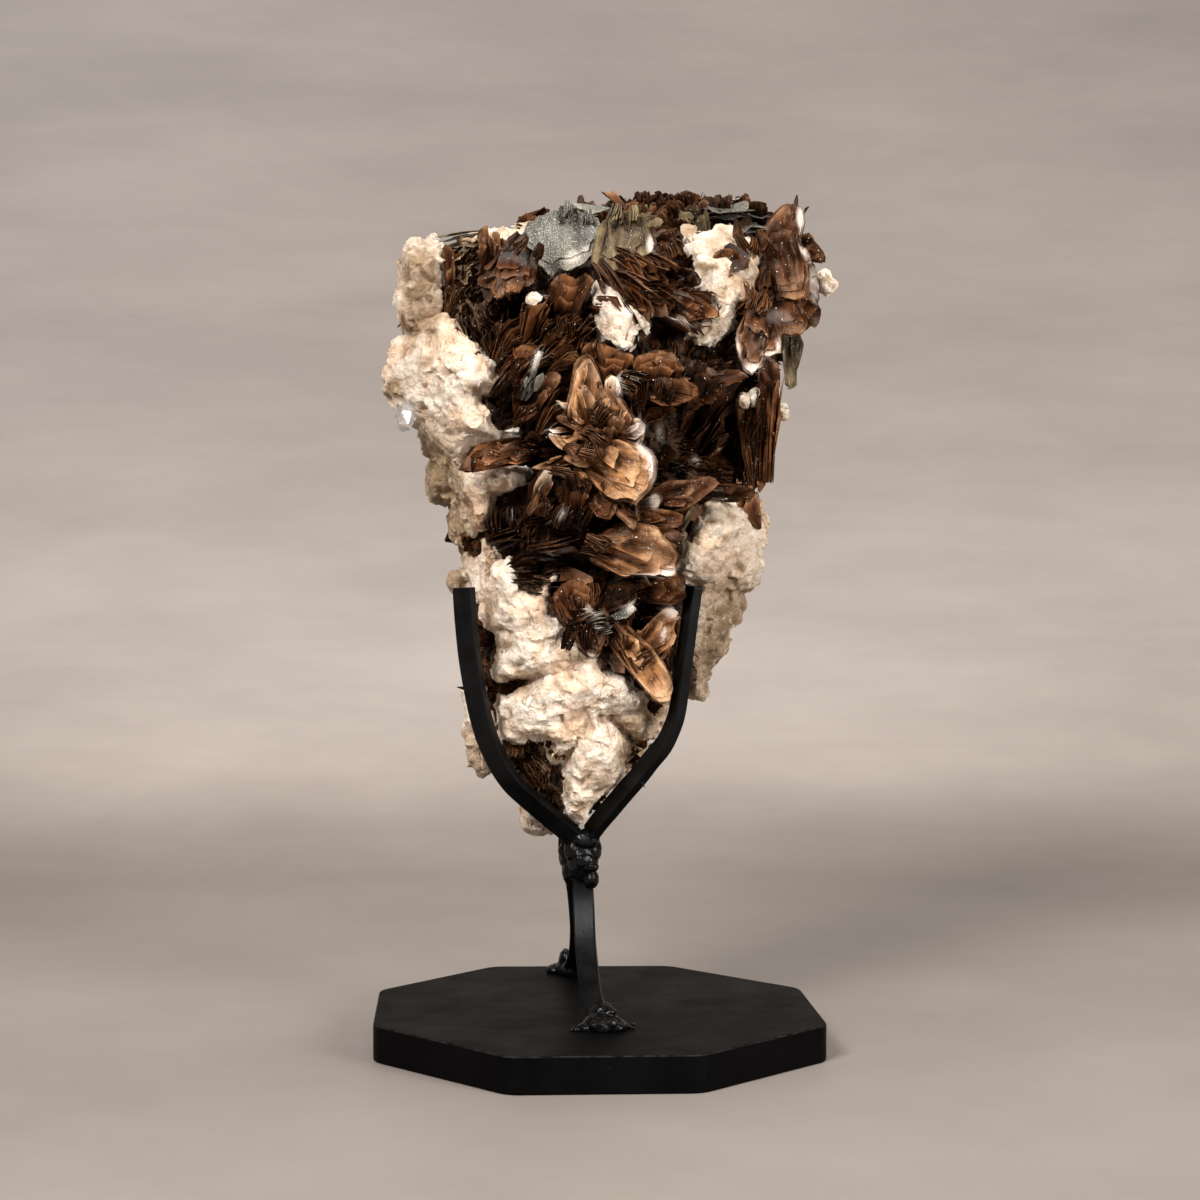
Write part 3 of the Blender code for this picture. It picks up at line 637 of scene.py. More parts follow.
def voxel_fuse(piece, size):
    fuse = piece.modifiers.new("fuse", "REMESH")
    fuse.mode = "VOXEL"
    fuse.voxel_size = size
    apply_all(piece)


def lofted_core():
    rings = [
        [on_body(2 * math.pi * i / CORE_SIDES, section[0])[0] for i in range(CORE_SIDES)]
        for section in CORE_SECTIONS
    ]
    points = [p for ring in rings for p in ring]
    faces = [tuple(reversed(range(CORE_SIDES)))]
    for row in range(len(rings) - 1):
        for i in range(CORE_SIDES):
            j = (i + 1) % CORE_SIDES
            low, high = row * CORE_SIDES, (row + 1) * CORE_SIDES
            faces.append((low + i, low + j, high + j, high + i))
    last = (len(rings) - 1) * CORE_SIDES
    faces.append(tuple(last + i for i in range(CORE_SIDES)))
    return mesh_piece("dark_matrix", points, faces)


matrix = lofted_core()
voxel_fuse(matrix, CORE_VOXEL)
points, outward = point_array(matrix.data), normal_array(matrix.data)
crumbs = np.array([
    noise.noise(Vector(p) * 70) * 0.0030
    + noise.noise(Vector(p) * 190) * 0.0016
    + noise.noise(Vector(p) * 430) * 0.0010
    for p in points
])
points += outward * (crumbs - CORE_SINK)[:, None]
seen_x, seen_z = seen_place(points)
facing = np.clip(-outward[:, 1] * 2, 0, 1)
for x, z, half_x, half_z, depth in CLEFTS:
    dent = np.exp(-(((seen_x - x) / half_x) ** 2) - ((seen_z - z) / half_z) ** 2)
    points[:, 1] += dent * depth * facing
move_points(matrix.data, clear_of_arms(points))
# Low spots of the relief, where the finish paints shade.
mark_points(matrix.data, "hollow_shade", np.clip(0.5 - crumbs / 0.005, 0, 1))
weathered = np.maximum.reduce((
    (-0.052 - seen_x) / 0.008, (0.150 - seen_z) / 0.012, (seen_x - 0.050) / 0.010 - (seen_z > 0.25) * 9,
    (outward[:, 1] - 0.2) * 2,
))
mark_points(matrix.data, "weathered", np.clip(weathered, 0, 1))
pick_only(matrix)
bpy.ops.object.shade_smooth()

matrix_finish, tree, shader = new_finish("crumbly_brown_matrix", 0.6)
place = object_place(tree)
patches = noise_value(tree, place, 90, 6, 0.6)
crumb = noise_value(tree, place, 420, 5, 0.65)
colour = ramp(
    tree, patches, (0.40, (0.012, 0.005, 0.0025)), (0.56, (0.045, 0.021, 0.009)), (0.74, (0.17, 0.095, 0.048))
)
weathered = add_node(tree, "ShaderNodeAttribute", attribute_name="weathered").outputs["Fac"]
pale_crumbs = ramp(
    tree, crumb, (0.34, (0.040, 0.019, 0.008)), (0.48, (0.20, 0.115, 0.055)), (0.64, (0.50, 0.35, 0.22))
)
colour = mixed(tree, sums(tree, "MULTIPLY", weathered, spread(tree, patches, 0.36, 0.56, 0.35, 1.0)), colour, pale_crumbs)
colour = mixed(tree, spread(tree, crumb, 0.62, 0.76, 0.0, 0.4), colour, (0.26, 0.16, 0.09, 1))
hollow_shade = add_node(tree, "ShaderNodeAttribute", attribute_name="hollow_shade").outputs["Fac"]
# Low spots of the relief turn near black: painted shade.
colour = mixed(tree, spread(tree, hollow_shade, 0.5, 0.85, 0.0, 0.85), colour, (0.012, 0.006, 0.004, 1))
tree.links.new(colour, shader.inputs["Base Color"])
tree.links.new(bump(tree, sums(tree, "ADD", patches, crumb), 0.8, 0.0014), shader.inputs["Normal"])
shader.inputs["Specular IOR Level"].default_value = 0.15
dress(matrix, matrix_finish, "mica_and_feldspar", "mica_specimen")

# Feldspar
# Cream to ivory feldspar in rounded, bready masses with ledges, hair cracks, ochre stains and
# small pits. It grew with the mica, and the books sit in and between its masses.
# Front masses: (how far the mass stands out, rounding of its rim, outline seen from EYE), in mm
MASSES = (
    (9, 7, ((-88.6, 350), (-88.3, 356), (-86.5, 364), (-84.5, 369.5), (-79, 370.8), (-73, 374.5),
            (-69.8, 373), (-69.2, 366), (-69.6, 358), (-71, 353.5), (-76, 352), (-79, 347), (-79, 341),
            (-75, 337), (-70, 332), (-80, 326), (-87, 330), (-87.5, 338), (-88.8, 344))),
    (17, 17, ((-92, 322), (-90.5, 326.5), (-86, 327.5), (-80, 332), (-78, 335.5), (-73, 337.3),
              (-68, 337.3), (-63, 334.5), (-59, 330), (-53, 325), (-50, 321), (-48, 318.5), (-45, 316),
              (-43, 310), (-41.5, 306), (-42, 302.5), (-46, 301.8), (-49.5, 299.3), (-45.5, 296),
              (-44.5, 294), (-44, 288.5), (-39, 288), (-34, 287), (-31.8, 284), (-33.5, 282), (-41, 281),
              (-50, 279), (-56, 277), (-62, 268), (-68, 264), (-73, 270.5), (-77, 276), (-79.5, 284),
              (-81, 292), (-84, 298), (-90, 297.5), (-93.5, 300), (-95.6, 304), (-95.2, 311))),
    (12, 10, ((-70, 275), (-68, 265), (-65, 260), (-62.8, 250), (-60.5, 243), (-58.5, 238), (-55, 235),
              (-51.5, 238), (-48.5, 239), (-47, 244), (-46, 249), (-45.5, 254), (-40, 256), (-36, 257.5),
              (-31.5, 259.5), (-28.5, 263.5), (-30, 266.5), (-36, 268.3), (-42, 270), (-47, 269.8),
              (-51, 268), (-56, 270), (-62, 276))),
    (15, 11, ((-50.2, 235), (-47, 233.5), (-45, 230), (-42, 227.3), (-38, 228.8), (-34.5, 228.5),
              (-31.5, 225), (-29.5, 219), (-28.5, 213), (-25, 214), (-22, 218), (-19, 220), (-15.5, 220.3),
              (-14.8, 216), (-18, 210), (-18, 205), (-14, 201), (-10, 198), (-6.8, 194.5), (-9, 190.5),
              (-7, 186), (-4, 182), (-10, 174), (-25, 170), (-40, 172), (-46, 176), (-44, 183), (-44, 189),
              (-49.5, 192), (-52, 200), (-52, 212), (-51, 226))),
    (13, 9, ((-38, 190), (-44, 182), (-46.5, 172), (-44, 168), (-36, 170), (-28, 171), (-20, 168),
             (-8, 168), (2, 176), (7, 177.5), (3, 182), (-5, 186), (-14, 192), (-28, 194))),
    (15, 9, ((-46, 160), (-44, 165), (-38, 163), (-31, 166), (-27, 171), (-16, 176), (-4, 181),
             (6, 177), (8, 174), (13, 173.3), (16, 173), (19.5, 170), (20, 166), (24, 162.5),
             (26.3, 158), (24, 155), (17, 154.5), (9, 153), (2, 148), (-8, 147), (-20, 144),
             (-34, 142), (-42, 142), (-44.5, 148), (-44.5, 153))),
    (13, 9, ((-44, 150), (-41, 141), (-38, 138.5), (-34, 140), (-30, 141.5), (-26, 139.3), (-20.5, 138.3),
             (-21.5, 134.5), (-19, 132), (-14.5, 132.3), (-10, 134), (-4, 137), (6, 148), (-5, 156), (-25, 156))),
    (14, 9, ((-8, 156), (2, 157), (9, 151.5), (14, 146), (16, 141.5), (18.3, 137), (19, 133.5),
             (16, 130.5), (14.5, 126.5), (12, 122.5), (9, 119), (5, 116), (1, 112.5), (-1.5, 108.5),
             (-2.2, 104.6), (-6, 102.6), (-10, 104), (-12.8, 107.5), (-13.3, 112), (-12.5, 118),
             (-13.5, 126), (-14, 132.5), (-11, 140))),
    (9, 6, ((8, 153), (12, 148.5), (17, 144), (22, 141), (27, 143), (31, 149), (29, 154), (25.5, 156), (16, 156))),
    (12, 11, ((46, 252), (50, 248), (53, 253), (60, 253.2), (68, 251.3), (75, 252.3), (78.5, 253),
              (79.5, 246), (82, 240), (81.3, 235.5), (78.5, 231), (76.5, 226), (76.5, 220), (73.5, 214),
              (70, 209), (60, 206), (50, 208), (44, 212), (38.3, 220.5), (40, 228), (43, 233.5),
              (46.3, 237.5), (46, 246))),
    (8, 7, ((48, 216), (60, 218), (70, 214), (70.3, 204), (67, 196.5), (64, 195), (62.5, 188), (61.5, 181),
            (58, 178.5), (54, 176), (52.5, 170), (48, 166), (44, 170), (44, 190))),
    (7, 3, ((45.5, 166), (48, 168.7), (52, 168.3), (52.3, 165), (53.5, 163.3), (51.5, 159.8), (48, 161), (45, 162))),
    (12, 7, ((-0.6, 352), (4, 354), (10, 352.4), (17, 352), (19, 350), (20.3, 346), (19.8, 341.5),
             (23.5, 338), (27, 334), (27, 329.8), (24, 328), (21.3, 328.3), (19.5, 322.5), (17, 319.2),
             (12, 321), (8, 322.5), (4, 323.5), (2.8, 327), (1, 332), (1.5, 338), (0.2, 345))),
    (12, 8, ((40.2, 378), (44, 379), (48, 375.8), (52, 376), (58, 378), (64, 379.5), (67, 377),
             (68.5, 373.5), (74, 372.5), (77, 370), (79, 368), (78, 362), (77, 356), (75, 351),
             (71.5, 345), (67.5, 340), (66, 336), (65, 331), (58, 326), (54, 321.6), (51, 323),
             (47, 323), (43, 326), (41.6, 331), (45, 334.5), (52, 337), (57, 341), (50, 345), (47, 350),
             (50, 354), (48.5, 359), (44.5, 361.5), (42.5, 368))),
    (5, 4, ((104, 358), (108, 358.5), (110.5, 355), (113.2, 352.5), (111, 347.5), (107, 347), (104.5, 350))),
    (14, 3, ((-30.5, 346.5), (-26, 347.6), (-19.5, 346.3), (-22.5, 344.5), (-27, 342), (-29, 340.8))),
    (9, 2.5, ((84, 296), (87, 296.5), (89.6, 295.5), (89.6, 290.5), (87.5, 290.3), (86.5, 292.5), (83.8, 293))),
    (3, 3, ((67, 298), (69, 300.5), (73, 300.5), (75, 304), (76.8, 303), (75.5, 297), (72, 294.5), (68, 296))),
    (5, 4, ((-66.3, 214), (-65.6, 218), (-63, 220), (-60, 219), (-59.5, 211), (-63, 209))),
    (2, 4, ((-59, 165), (-57, 168), (-51, 160), (-47, 140), (-47.5, 126.5), (-52, 126), (-57, 133), (-58.8, 144))),
    (3, 3, ((-33.6, 105), (-32, 106.3), (-27, 103), (-18, 99.5), (-17.4, 98), (-22, 98.3), (-28, 99), (-32.5, 100.5))),
    (6, 4, ((-63, 374), (-53, 375), (-42, 376.5), (-33, 376), (-30, 371), (-40, 370), (-52, 371), (-62, 370))),
    (7, 4, ((-34, 372.5), (-32, 377), (-29.5, 381), (-25, 380), (-20, 381.5), (-19, 377), (-27, 374), (-31, 371))),
)
# Masses round the back and inside: (centre, radii, squareness, turn about the sight line in degrees)
BOULDERS = (
    ((-0.0240, 0.0160, 0.1100), (0.0090, 0.0090, 0.0080), 2.4, 0),
    ((-0.0550, 0.0450, 0.3250), (0.0240, 0.0240, 0.0280), 2.8, 15),
    ((0.0150, 0.0580, 0.2950), (0.0280, 0.0180, 0.0240), 3.0, -12),
    ((0.0600, 0.0480, 0.2500), (0.0200, 0.0180, 0.0240), 2.6, 20),
    ((-0.0330, 0.0500, 0.2350), (0.0220, 0.0170, 0.0300), 2.8, 10),
    ((0.0180, 0.0440, 0.1950), (0.0200, 0.0160, 0.0220), 2.6, -25),
    ((-0.0250, 0.0330, 0.1600), (0.0170, 0.0140, 0.0200), 2.6, 15),
    ((0.0550, 0.0560, 0.3550), (0.0240, 0.0180, 0.0160), 3.2, 0),
    ((-0.0780, -0.0080, 0.3500), (0.0100, 0.0220, 0.0200), 4.0, -4),
    ((-0.0720, -0.0080, 0.3100), (0.0200, 0.0260, 0.0240), 2.4, -20),
    ((-0.0480, 0.0060, 0.1480), (0.0080, 0.0120, 0.0190), 2.6, 8),
    ((0.0620, 0.0020, 0.2300), (0.0155, 0.0260, 0.0220), 2.6, 10),
    ((-0.0640, 0.0020, 0.2700), (0.0095, 0.0180, 0.0200), 2.4, -25),
    ((-0.0560, 0.0040, 0.2450), (0.0095, 0.0180, 0.0150), 2.6, 0),
    ((-0.0520, 0.0040, 0.2210), (0.0080, 0.0180, 0.0160), 2.4, 5),
    ((0.0250, 0.0040, 0.1600), (0.0120, 0.0120, 0.0170), 2.4, 20),
    ((0.0150, 0.0050, 0.1380), (0.0090, 0.0100, 0.0130), 2.4, 40),
    ((-0.0390, 0.0580, 0.3420), (0.0200, 0.0140, 0.0110), 2.2, -30),
    ((-0.0300, 0.0620, 0.3080), (0.0150, 0.0120, 0.0180), 2.2, 35),
    ((0.0330, 0.0600, 0.3130), (0.0190, 0.0120, 0.0120), 2.2, 25),
    ((0.0440, 0.0600, 0.2760), (0.0120, 0.0120, 0.0200), 2.2, -20),
    ((0.0740, 0.0430, 0.3330), (0.0120, 0.0160, 0.0200), 2.4, 10),
    ((-0.0460, 0.0420, 0.2640), (0.0160, 0.0160, 0.0120), 2.2, 20),
    ((-0.0120, 0.0540, 0.2420), (0.0150, 0.0110, 0.0100), 2.2, -15),
    ((0.0020, 0.0460, 0.2120), (0.0130, 0.0110, 0.0150), 2.2, 40),
    ((0.0310, 0.0360, 0.1720), (0.0120, 0.0120, 0.0150), 2.2, 15),
    ((-0.0120, 0.0330, 0.1440), (0.0110, 0.0100, 0.0130), 2.2, -30),
)
FELDSPAR_VOXEL = 0.0010
FELDSPAR_KEPT = 0.46  # share of the faces kept once it is shaped
# Stains and pits: (x, z, half width, half height, turn in degrees, strength), in mm
STAINS = (
    (-55, 304.5, 5.5, 2.2, -38, 1.0),
    (-91, 303, 5, 6, 0, 1.0),
    (-84, 309, 3, 5, 0, 0.45),
    (-74, 330, 4, 1.6, 0, 1.0),
    (-82, 330, 5, 3, 20, 0.9),
    (-87, 334, 1.6, 7, 0, 1.0),
    (-72, 272, 3, 8, 25, 0.5),
    (-76, 284, 2.5, 6, 5, 0.5),
    (-48, 284, 7, 2.4, -5, 0.5),
    (-70, 300, 12, 2, -10, 0.3),
    (-36, 167, 8, 4, 0, 0.9),
    (-41, 186, 5, 2.5, 0, 1.0),
    (-45, 163, 2.5, 8, 0, 0.6),
    (20, 149, 9, 5, 10, 0.9),
    (10, 156, 3, 5, 0, 0.5),
    (-8, 135, 4, 5, 30, 0.45),
    (-12, 120, 2.5, 6, 0, 0.7),
    (4, 120, 5, 3, 30, 0.7),
    (-3, 149, 1.2, 2.4, 0, 1.0),
    (-26, 215, 5, 2, 20, 0.4),
    (-44, 205, 6, 6, 0, 0.25),
    (64, 366, 9, 3.2, 0, 1.0),
    (53, 359.5, 6, 2.4, 0, 1.0),
    (71, 360, 2, 3, 0, 0.8),
    (60, 246, 9, 5, -10, 0.5),
    (62, 234, 11, 1.6, 35, 0.45),
    (54, 221, 9, 3.5, 0, 0.75),
    (60, 214, 9, 2.5, 0, 0.6),
    (58, 201, 4, 2.4, 0, 1.0),
    (54, 187, 2.5, 4, -10, 1.0),
    (57, 192, 12, 20, 0, 0.55),
    (50, 163, 6, 5, 0, 0.6),
    (56, 331, 13, 6, 20, 0.45),
    (10, 337, 10, 1.5, 5, 0.35),
    (22, 334, 6, 3, -10, 0.4),
    (-79, 353, 11, 24, 0, 0.88),
    (66, 180, 22, 42, 0, 0.95),
    (74, 222, 7, 14, 0, 0.5),
    (-84, 312, 10, 6, 20, 0.35),
    (-68, 286, 5, 9, 10, 0.35),
    (16, 168, 8, 6, 0, 0.35),
    (-30, 196, 5, 9, 0, 0.25),
    (0, 126, 6, 8, 20, 0.35),
    (54, 346, 10, 4, 0, 0.4),
    (4, 352, 8, 3, 0, 0.35),
    (-53, 140, 6, 18, 0, 0.5),
    (-26, 102, 8, 4, 0, 0.5),
    (109, 353, 4, 2, -50, 0.9),
    (-70, 262, 10, 30, 14, 1.0),
    # The next two broad, weak spots dim the top masses: painted shade.
    (60, 358, 24, 30, 0, 0.24),
    (4, 345, 12, 18, 0, 0.24),
    (-65, 236, 10, 18, 0, 1.0),
    (-65, 220, 5, 14, 0, 0.9),
    (28, 158, 8, 16, -25, 1.0),
    (19, 138, 6, 10, -35, 1.0),
)


def inside_outline(x, z, outline):
    inside = np.zeros(len(x), bool)
    for (x0, z0), (x1, z1) in zip(outline, np.roll(outline, -1, 0)):
        crosses = (z0 > z) != (z1 > z)
        with np.errstate(divide="ignore", invalid="ignore"):
            cut = (x1 - x0) * (z - z0) / (z1 - z0) + x0
        inside ^= crosses & (x < cut)
    return inside


def rim_gap(x, z, outline):
    """How far inside the outline each point lies, 0 outside it."""
    gap = np.full(len(x), 1.0)
    for start, end in zip(outline, np.roll(outline, -1, 0)):
        side = end - start
        share = ((x - start[0]) * side[0] + (z - start[1]) * side[1]) / (side @ side)
        share = np.clip(share, 0, 1)
        gap = np.minimum(gap, np.hypot(x - start[0] - share * side[0], z - start[1] - share * side[1]))
    return np.where(inside_outline(x, z, outline), gap, 0)


def front_mass(number, proud, rounding, outline):
    """A mass with this outline: a slab cut out along the sight lines, then swelled to a dome."""
    outline = np.array(outline) / 1000
    middle = outline.mean(0)
    proud, rounding = proud / 1000, rounding / 1000
    y_front = -0.075
    y_back = float(front_depth(middle[0], middle[1])) + 0.020
    count = len(outline)
    points = np.vstack((
        slid_back(outline[:, 0], outline[:, 1], y_front),
        slid_back(outline[:, 0], outline[:, 1], y_back),
    ))
    faces = [tuple(range(count)), tuple(reversed(range(count, 2 * count)))]
    faces += [(i, i + count, (i + 1) % count + count, (i + 1) % count) for i in range(count)]
    mass = mesh_piece(f"mass_{number}", points, faces)
    pick_only(mass)
    bpy.ops.object.mode_set(mode="EDIT")
    bpy.ops.mesh.select_all(action="SELECT")
    bpy.ops.mesh.normals_make_consistent(inside=False)
    bpy.ops.object.mode_set(mode="OBJECT")
    voxel_fuse(mass, FELDSPAR_VOXEL)
    points = point_array(mass.data)
    x, z = seen_place(points)
    gap = rim_gap(x, z, outline)
    dome = np.sqrt(np.maximum(1 - (1 - np.minimum(gap / rounding, 1)) ** 2, 0))
    new_front = front_depth(x, z) + 0.006 - (proud + 0.006) * dome
    share = (points[:, 1] - y_front) / (y_back - y_front)
    points = slid_back(x, z, new_front + (y_back - new_front) * np.clip(share, 0, 1))
    move_points(mass.data, points)
    return mass


def boulder(centre, radii, squareness, turn):
    bpy.ops.mesh.primitive_ico_sphere_add(subdivisions=5, radius=1)
    lump = bpy.context.object
    points = point_array(lump.data)
    size = (np.abs(points) ** squareness).sum(1) ** (1 / squareness)
    points = points / size[:, None] * np.array(radii)
    spin = np.array(Matrix.Rotation(math.radians(-turn), 3, "Y"))
    move_points(lump.data, points @ spin.T + np.array(centre))
    return lump


def facet(place, size):
    """How far a cleaved surface stands out here: flat facets about this wide, each tilted its own way."""
    gaps, centres = noise.voronoi(place / size)
    tilts = [noise.cell_vector(centre * 7.3) - Vector((0.5, 0.5, 0.5)) for centre in centres[:2]]
    planes = [(place / size - centre).dot(tilt) + 0.5 * tilt.x for centre, tilt in zip(centres, tilts)]
    share = min((gaps[1] - gaps[0]) / 0.16, 1)
    return size * 0.55 * (planes[0] * (0.5 + 0.5 * share) + planes[1] * (0.5 - 0.5 * share))


def spot_mask(x, z, spots):
    """Soft-edged spots, seen from EYE, added up to at most 1."""
    total = np.zeros(len(x))
    for spot_x, spot_z, half_x, half_z, turn, strength in spots:
        angle = math.radians(turn)
        dx, dz = x * 1000 - spot_x, z * 1000 - spot_z
        along = (dx * math.cos(angle) + dz * math.sin(angle)) / half_x
        across = (-dx * math.sin(angle) + dz * math.cos(angle)) / half_z
        total = np.maximum(total, strength * np.clip(1.7 - 1.3 * np.hypot(along, across), 0, 1))
    return total


lumps = [front_mass(i, *mass) for i, mass in enumerate(MASSES)]
lumps += [boulder(*row) for row in BOULDERS]
pick_only(*lumps)
bpy.ops.object.join()
feldspar = bpy.context.object
feldspar.name = "feldspar_masses"
voxel_fuse(feldspar, FELDSPAR_VOXEL)
points, outward = point_array(feldspar.data), normal_array(feldspar.data)
relief = []
for p in points:
    place = Vector(p)
    warped = place + 0.0030 * noise.noise_vector(place * 90)
    lump = noise.noise(warped * 80)
    blocks, chips = facet(warped, 0.0062), facet(warped + Vector((3, 1, 2)), 0.0026)
    grain = 0.00055 * noise.noise(place * 420) + 0.00050 * noise.noise(place * 800)
    relief.append(0.0018 * lump + 1.10 * blocks + 0.70 * chips + grain)
relief = np.array(relief)
points += outward * relief[:, None]
move_points(feldspar.data, clear_of_arms(points))
# Low spots of the relief, where the finish paints shade and some staining.
mark_points(feldspar.data, "hollow_shade", np.clip(0.5 - relief / 0.0048, 0, 1))
behind = feldspar.vertex_groups.new(name="behind")
behind.add(np.flatnonzero((outward[:, 1] > 0.1) | (points[:, 1] > 0.004)).tolist(), 1.0, "REPLACE")
thinned = feldspar.modifiers.new("thinned", "DECIMATE")
thinned.ratio = FELDSPAR_KEPT
thinned.vertex_group = "behind"
thinned.vertex_group_factor = 1.0
apply_all(feldspar)
points, outward = point_array(feldspar.data), normal_array(feldspar.data)
seen_x, seen_z = seen_place(points)
mark_points(
    feldspar.data, "stain", np.where(outward[:, 1] < 0.5, spot_mask(seen_x, seen_z, STAINS), 0.3)
)
pick_only(feldspar)
bpy.ops.object.shade_smooth_by_angle(angle=math.radians(38))

feldspar_finish, tree, shader = new_finish("cream_feldspar", 0.62)
place = object_place(tree)
clouds = noise_value(tree, place, 45, 6, 0.6, 0.4)
mottle = noise_value(tree, place, 210, 6, 0.65, 0.6)
grainy = noise_value(tree, place, 900, 4, 0.7)
cells = add_node(
    tree,
    "ShaderNodeTexVoronoi",
    {"Vector": mixed(tree, 0.012, place, add_node(tree, "ShaderNodeTexNoise", {"Vector": place, "Scale": 120}).outputs["Color"]),
     "Scale": 95},
    feature="DISTANCE_TO_EDGE",
).outputs["Distance"]
crack = spread(tree, cells, 0.0, 0.035, 1.0, 0.0)
crack = sums(tree, "MULTIPLY", crack, spread(tree, noise_value(tree, place, 60), 0.52, 0.62))
colour = ramp(
    tree, clouds, (0.34, (0.66, 0.43, 0.27)), (0.45, (0.92, 0.71, 0.52)), (0.56, (0.97, 0.85, 0.71))
)
colour = mixed(tree, 1.0, colour, ramp(tree, grainy, (0.38, (0.84, 0.76, 0.69)), (0.52, (1.0, 1.0, 1.0))), "MULTIPLY")
colour = mixed(tree, spread(tree, mottle, 0.52, 0.66, 0.0, 0.60), colour, (0.62, 0.42, 0.25, 1))
hollow_shade = add_node(tree, "ShaderNodeAttribute", attribute_name="hollow_shade").outputs["Fac"]
# Low spots of the relief turn darker brown: painted shade, with some real staining in the crevices.
colour = mixed(tree, spread(tree, hollow_shade, 0.60, 0.95, 0.0, 0.80), colour, (0.42, 0.25, 0.135, 1))
stain = add_node(tree, "ShaderNodeAttribute", attribute_name="stain").outputs["Fac"]
stain = sums(tree, "MULTIPLY", stain, spread(tree, mottle, 0.30, 0.60, 0.45, 1.25))
colour = mixed(tree, stain, colour, ramp(tree, clouds, (0.35, (0.16, 0.10, 0.05)), (0.65, (0.42, 0.27, 0.14))))
pits = spread(tree, noise_value(tree, place, 520, 3), 0.64, 0.70)
colour = mixed(tree, sums(tree, "MULTIPLY", pits, 0.7), colour, (0.20, 0.11, 0.055, 1))
colour = mixed(tree, sums(tree, "MULTIPLY", crack, 0.7), colour, (0.30, 0.18, 0.10, 1))
tree.links.new(colour, shader.inputs["Base Color"])
tree.links.new(spread(tree, mottle, 0.3, 0.7, 0.48, 0.72), shader.inputs["Roughness"])
height = sums(tree, "ADD", mottle, sums(tree, "MULTIPLY", grainy, 0.7))
height = sums(tree, "SUBTRACT", height, sums(tree, "MULTIPLY", crack, 0.4))
tree.links.new(bump(tree, height, 1.0, 0.0016), shader.inputs["Normal"])
shader.inputs["Subsurface Weight"].default_value = 0.06
shader.inputs["Subsurface Radius"].default_value = (0.004, 0.0025, 0.0015)
dress(feldspar, feldspar_finish, "mica_and_feldspar", "mica_specimen")

# Quartz chip
# One clear, splintered chip of quartz caught in the left flank under the feldspar knob.
CHIP_PLACE = (-0.0862, 0.2905)  # seen from EYE
CHIP_RADII = (0.0052, 0.0060, 0.0062)
chip_centre = slid_back(*CHIP_PLACE, -0.030)
bpy.ops.object.select_all(action="DESELECT")
bpy.ops.mesh.primitive_ico_sphere_add(subdivisions=2, radius=1)
chip = bpy.context.object
chip.name = "quartz_chip"
points = point_array(chip.data)
points *= np.array([1 + 0.35 * noise.noise(Vector(p) * 2.3 + Vector((4, 1, 7))) for p in points])[:, None]
move_points(chip.data, points * np.array(CHIP_RADII) + chip_centre)
facets = chip.modifiers.new("facets", "DECIMATE")
facets.ratio = 0.45
apply_all(chip)
bpy.ops.object.shade_flat()
chip_finish, tree, shader = new_finish("clear_quartz", 0.05)
shader.inputs["Transmission Weight"].default_value = 0.85
shader.inputs["IOR"].default_value = 1.54
veils = noise_value(tree, object_place(tree), 500, 4)
tint = mixed(tree, spread(tree, veils, 0.45, 0.65), (0.96, 0.96, 0.95, 1), (0.80, 0.74, 0.66, 1))
tree.links.new(tint, shader.inputs["Base Color"])
tree.links.new(spread(tree, veils, 0.4, 0.7, 0.02, 0.3), shader.inputs["Roughness"])
dress(chip, chip_finish, "mica_and_feldspar", "mica_specimen")
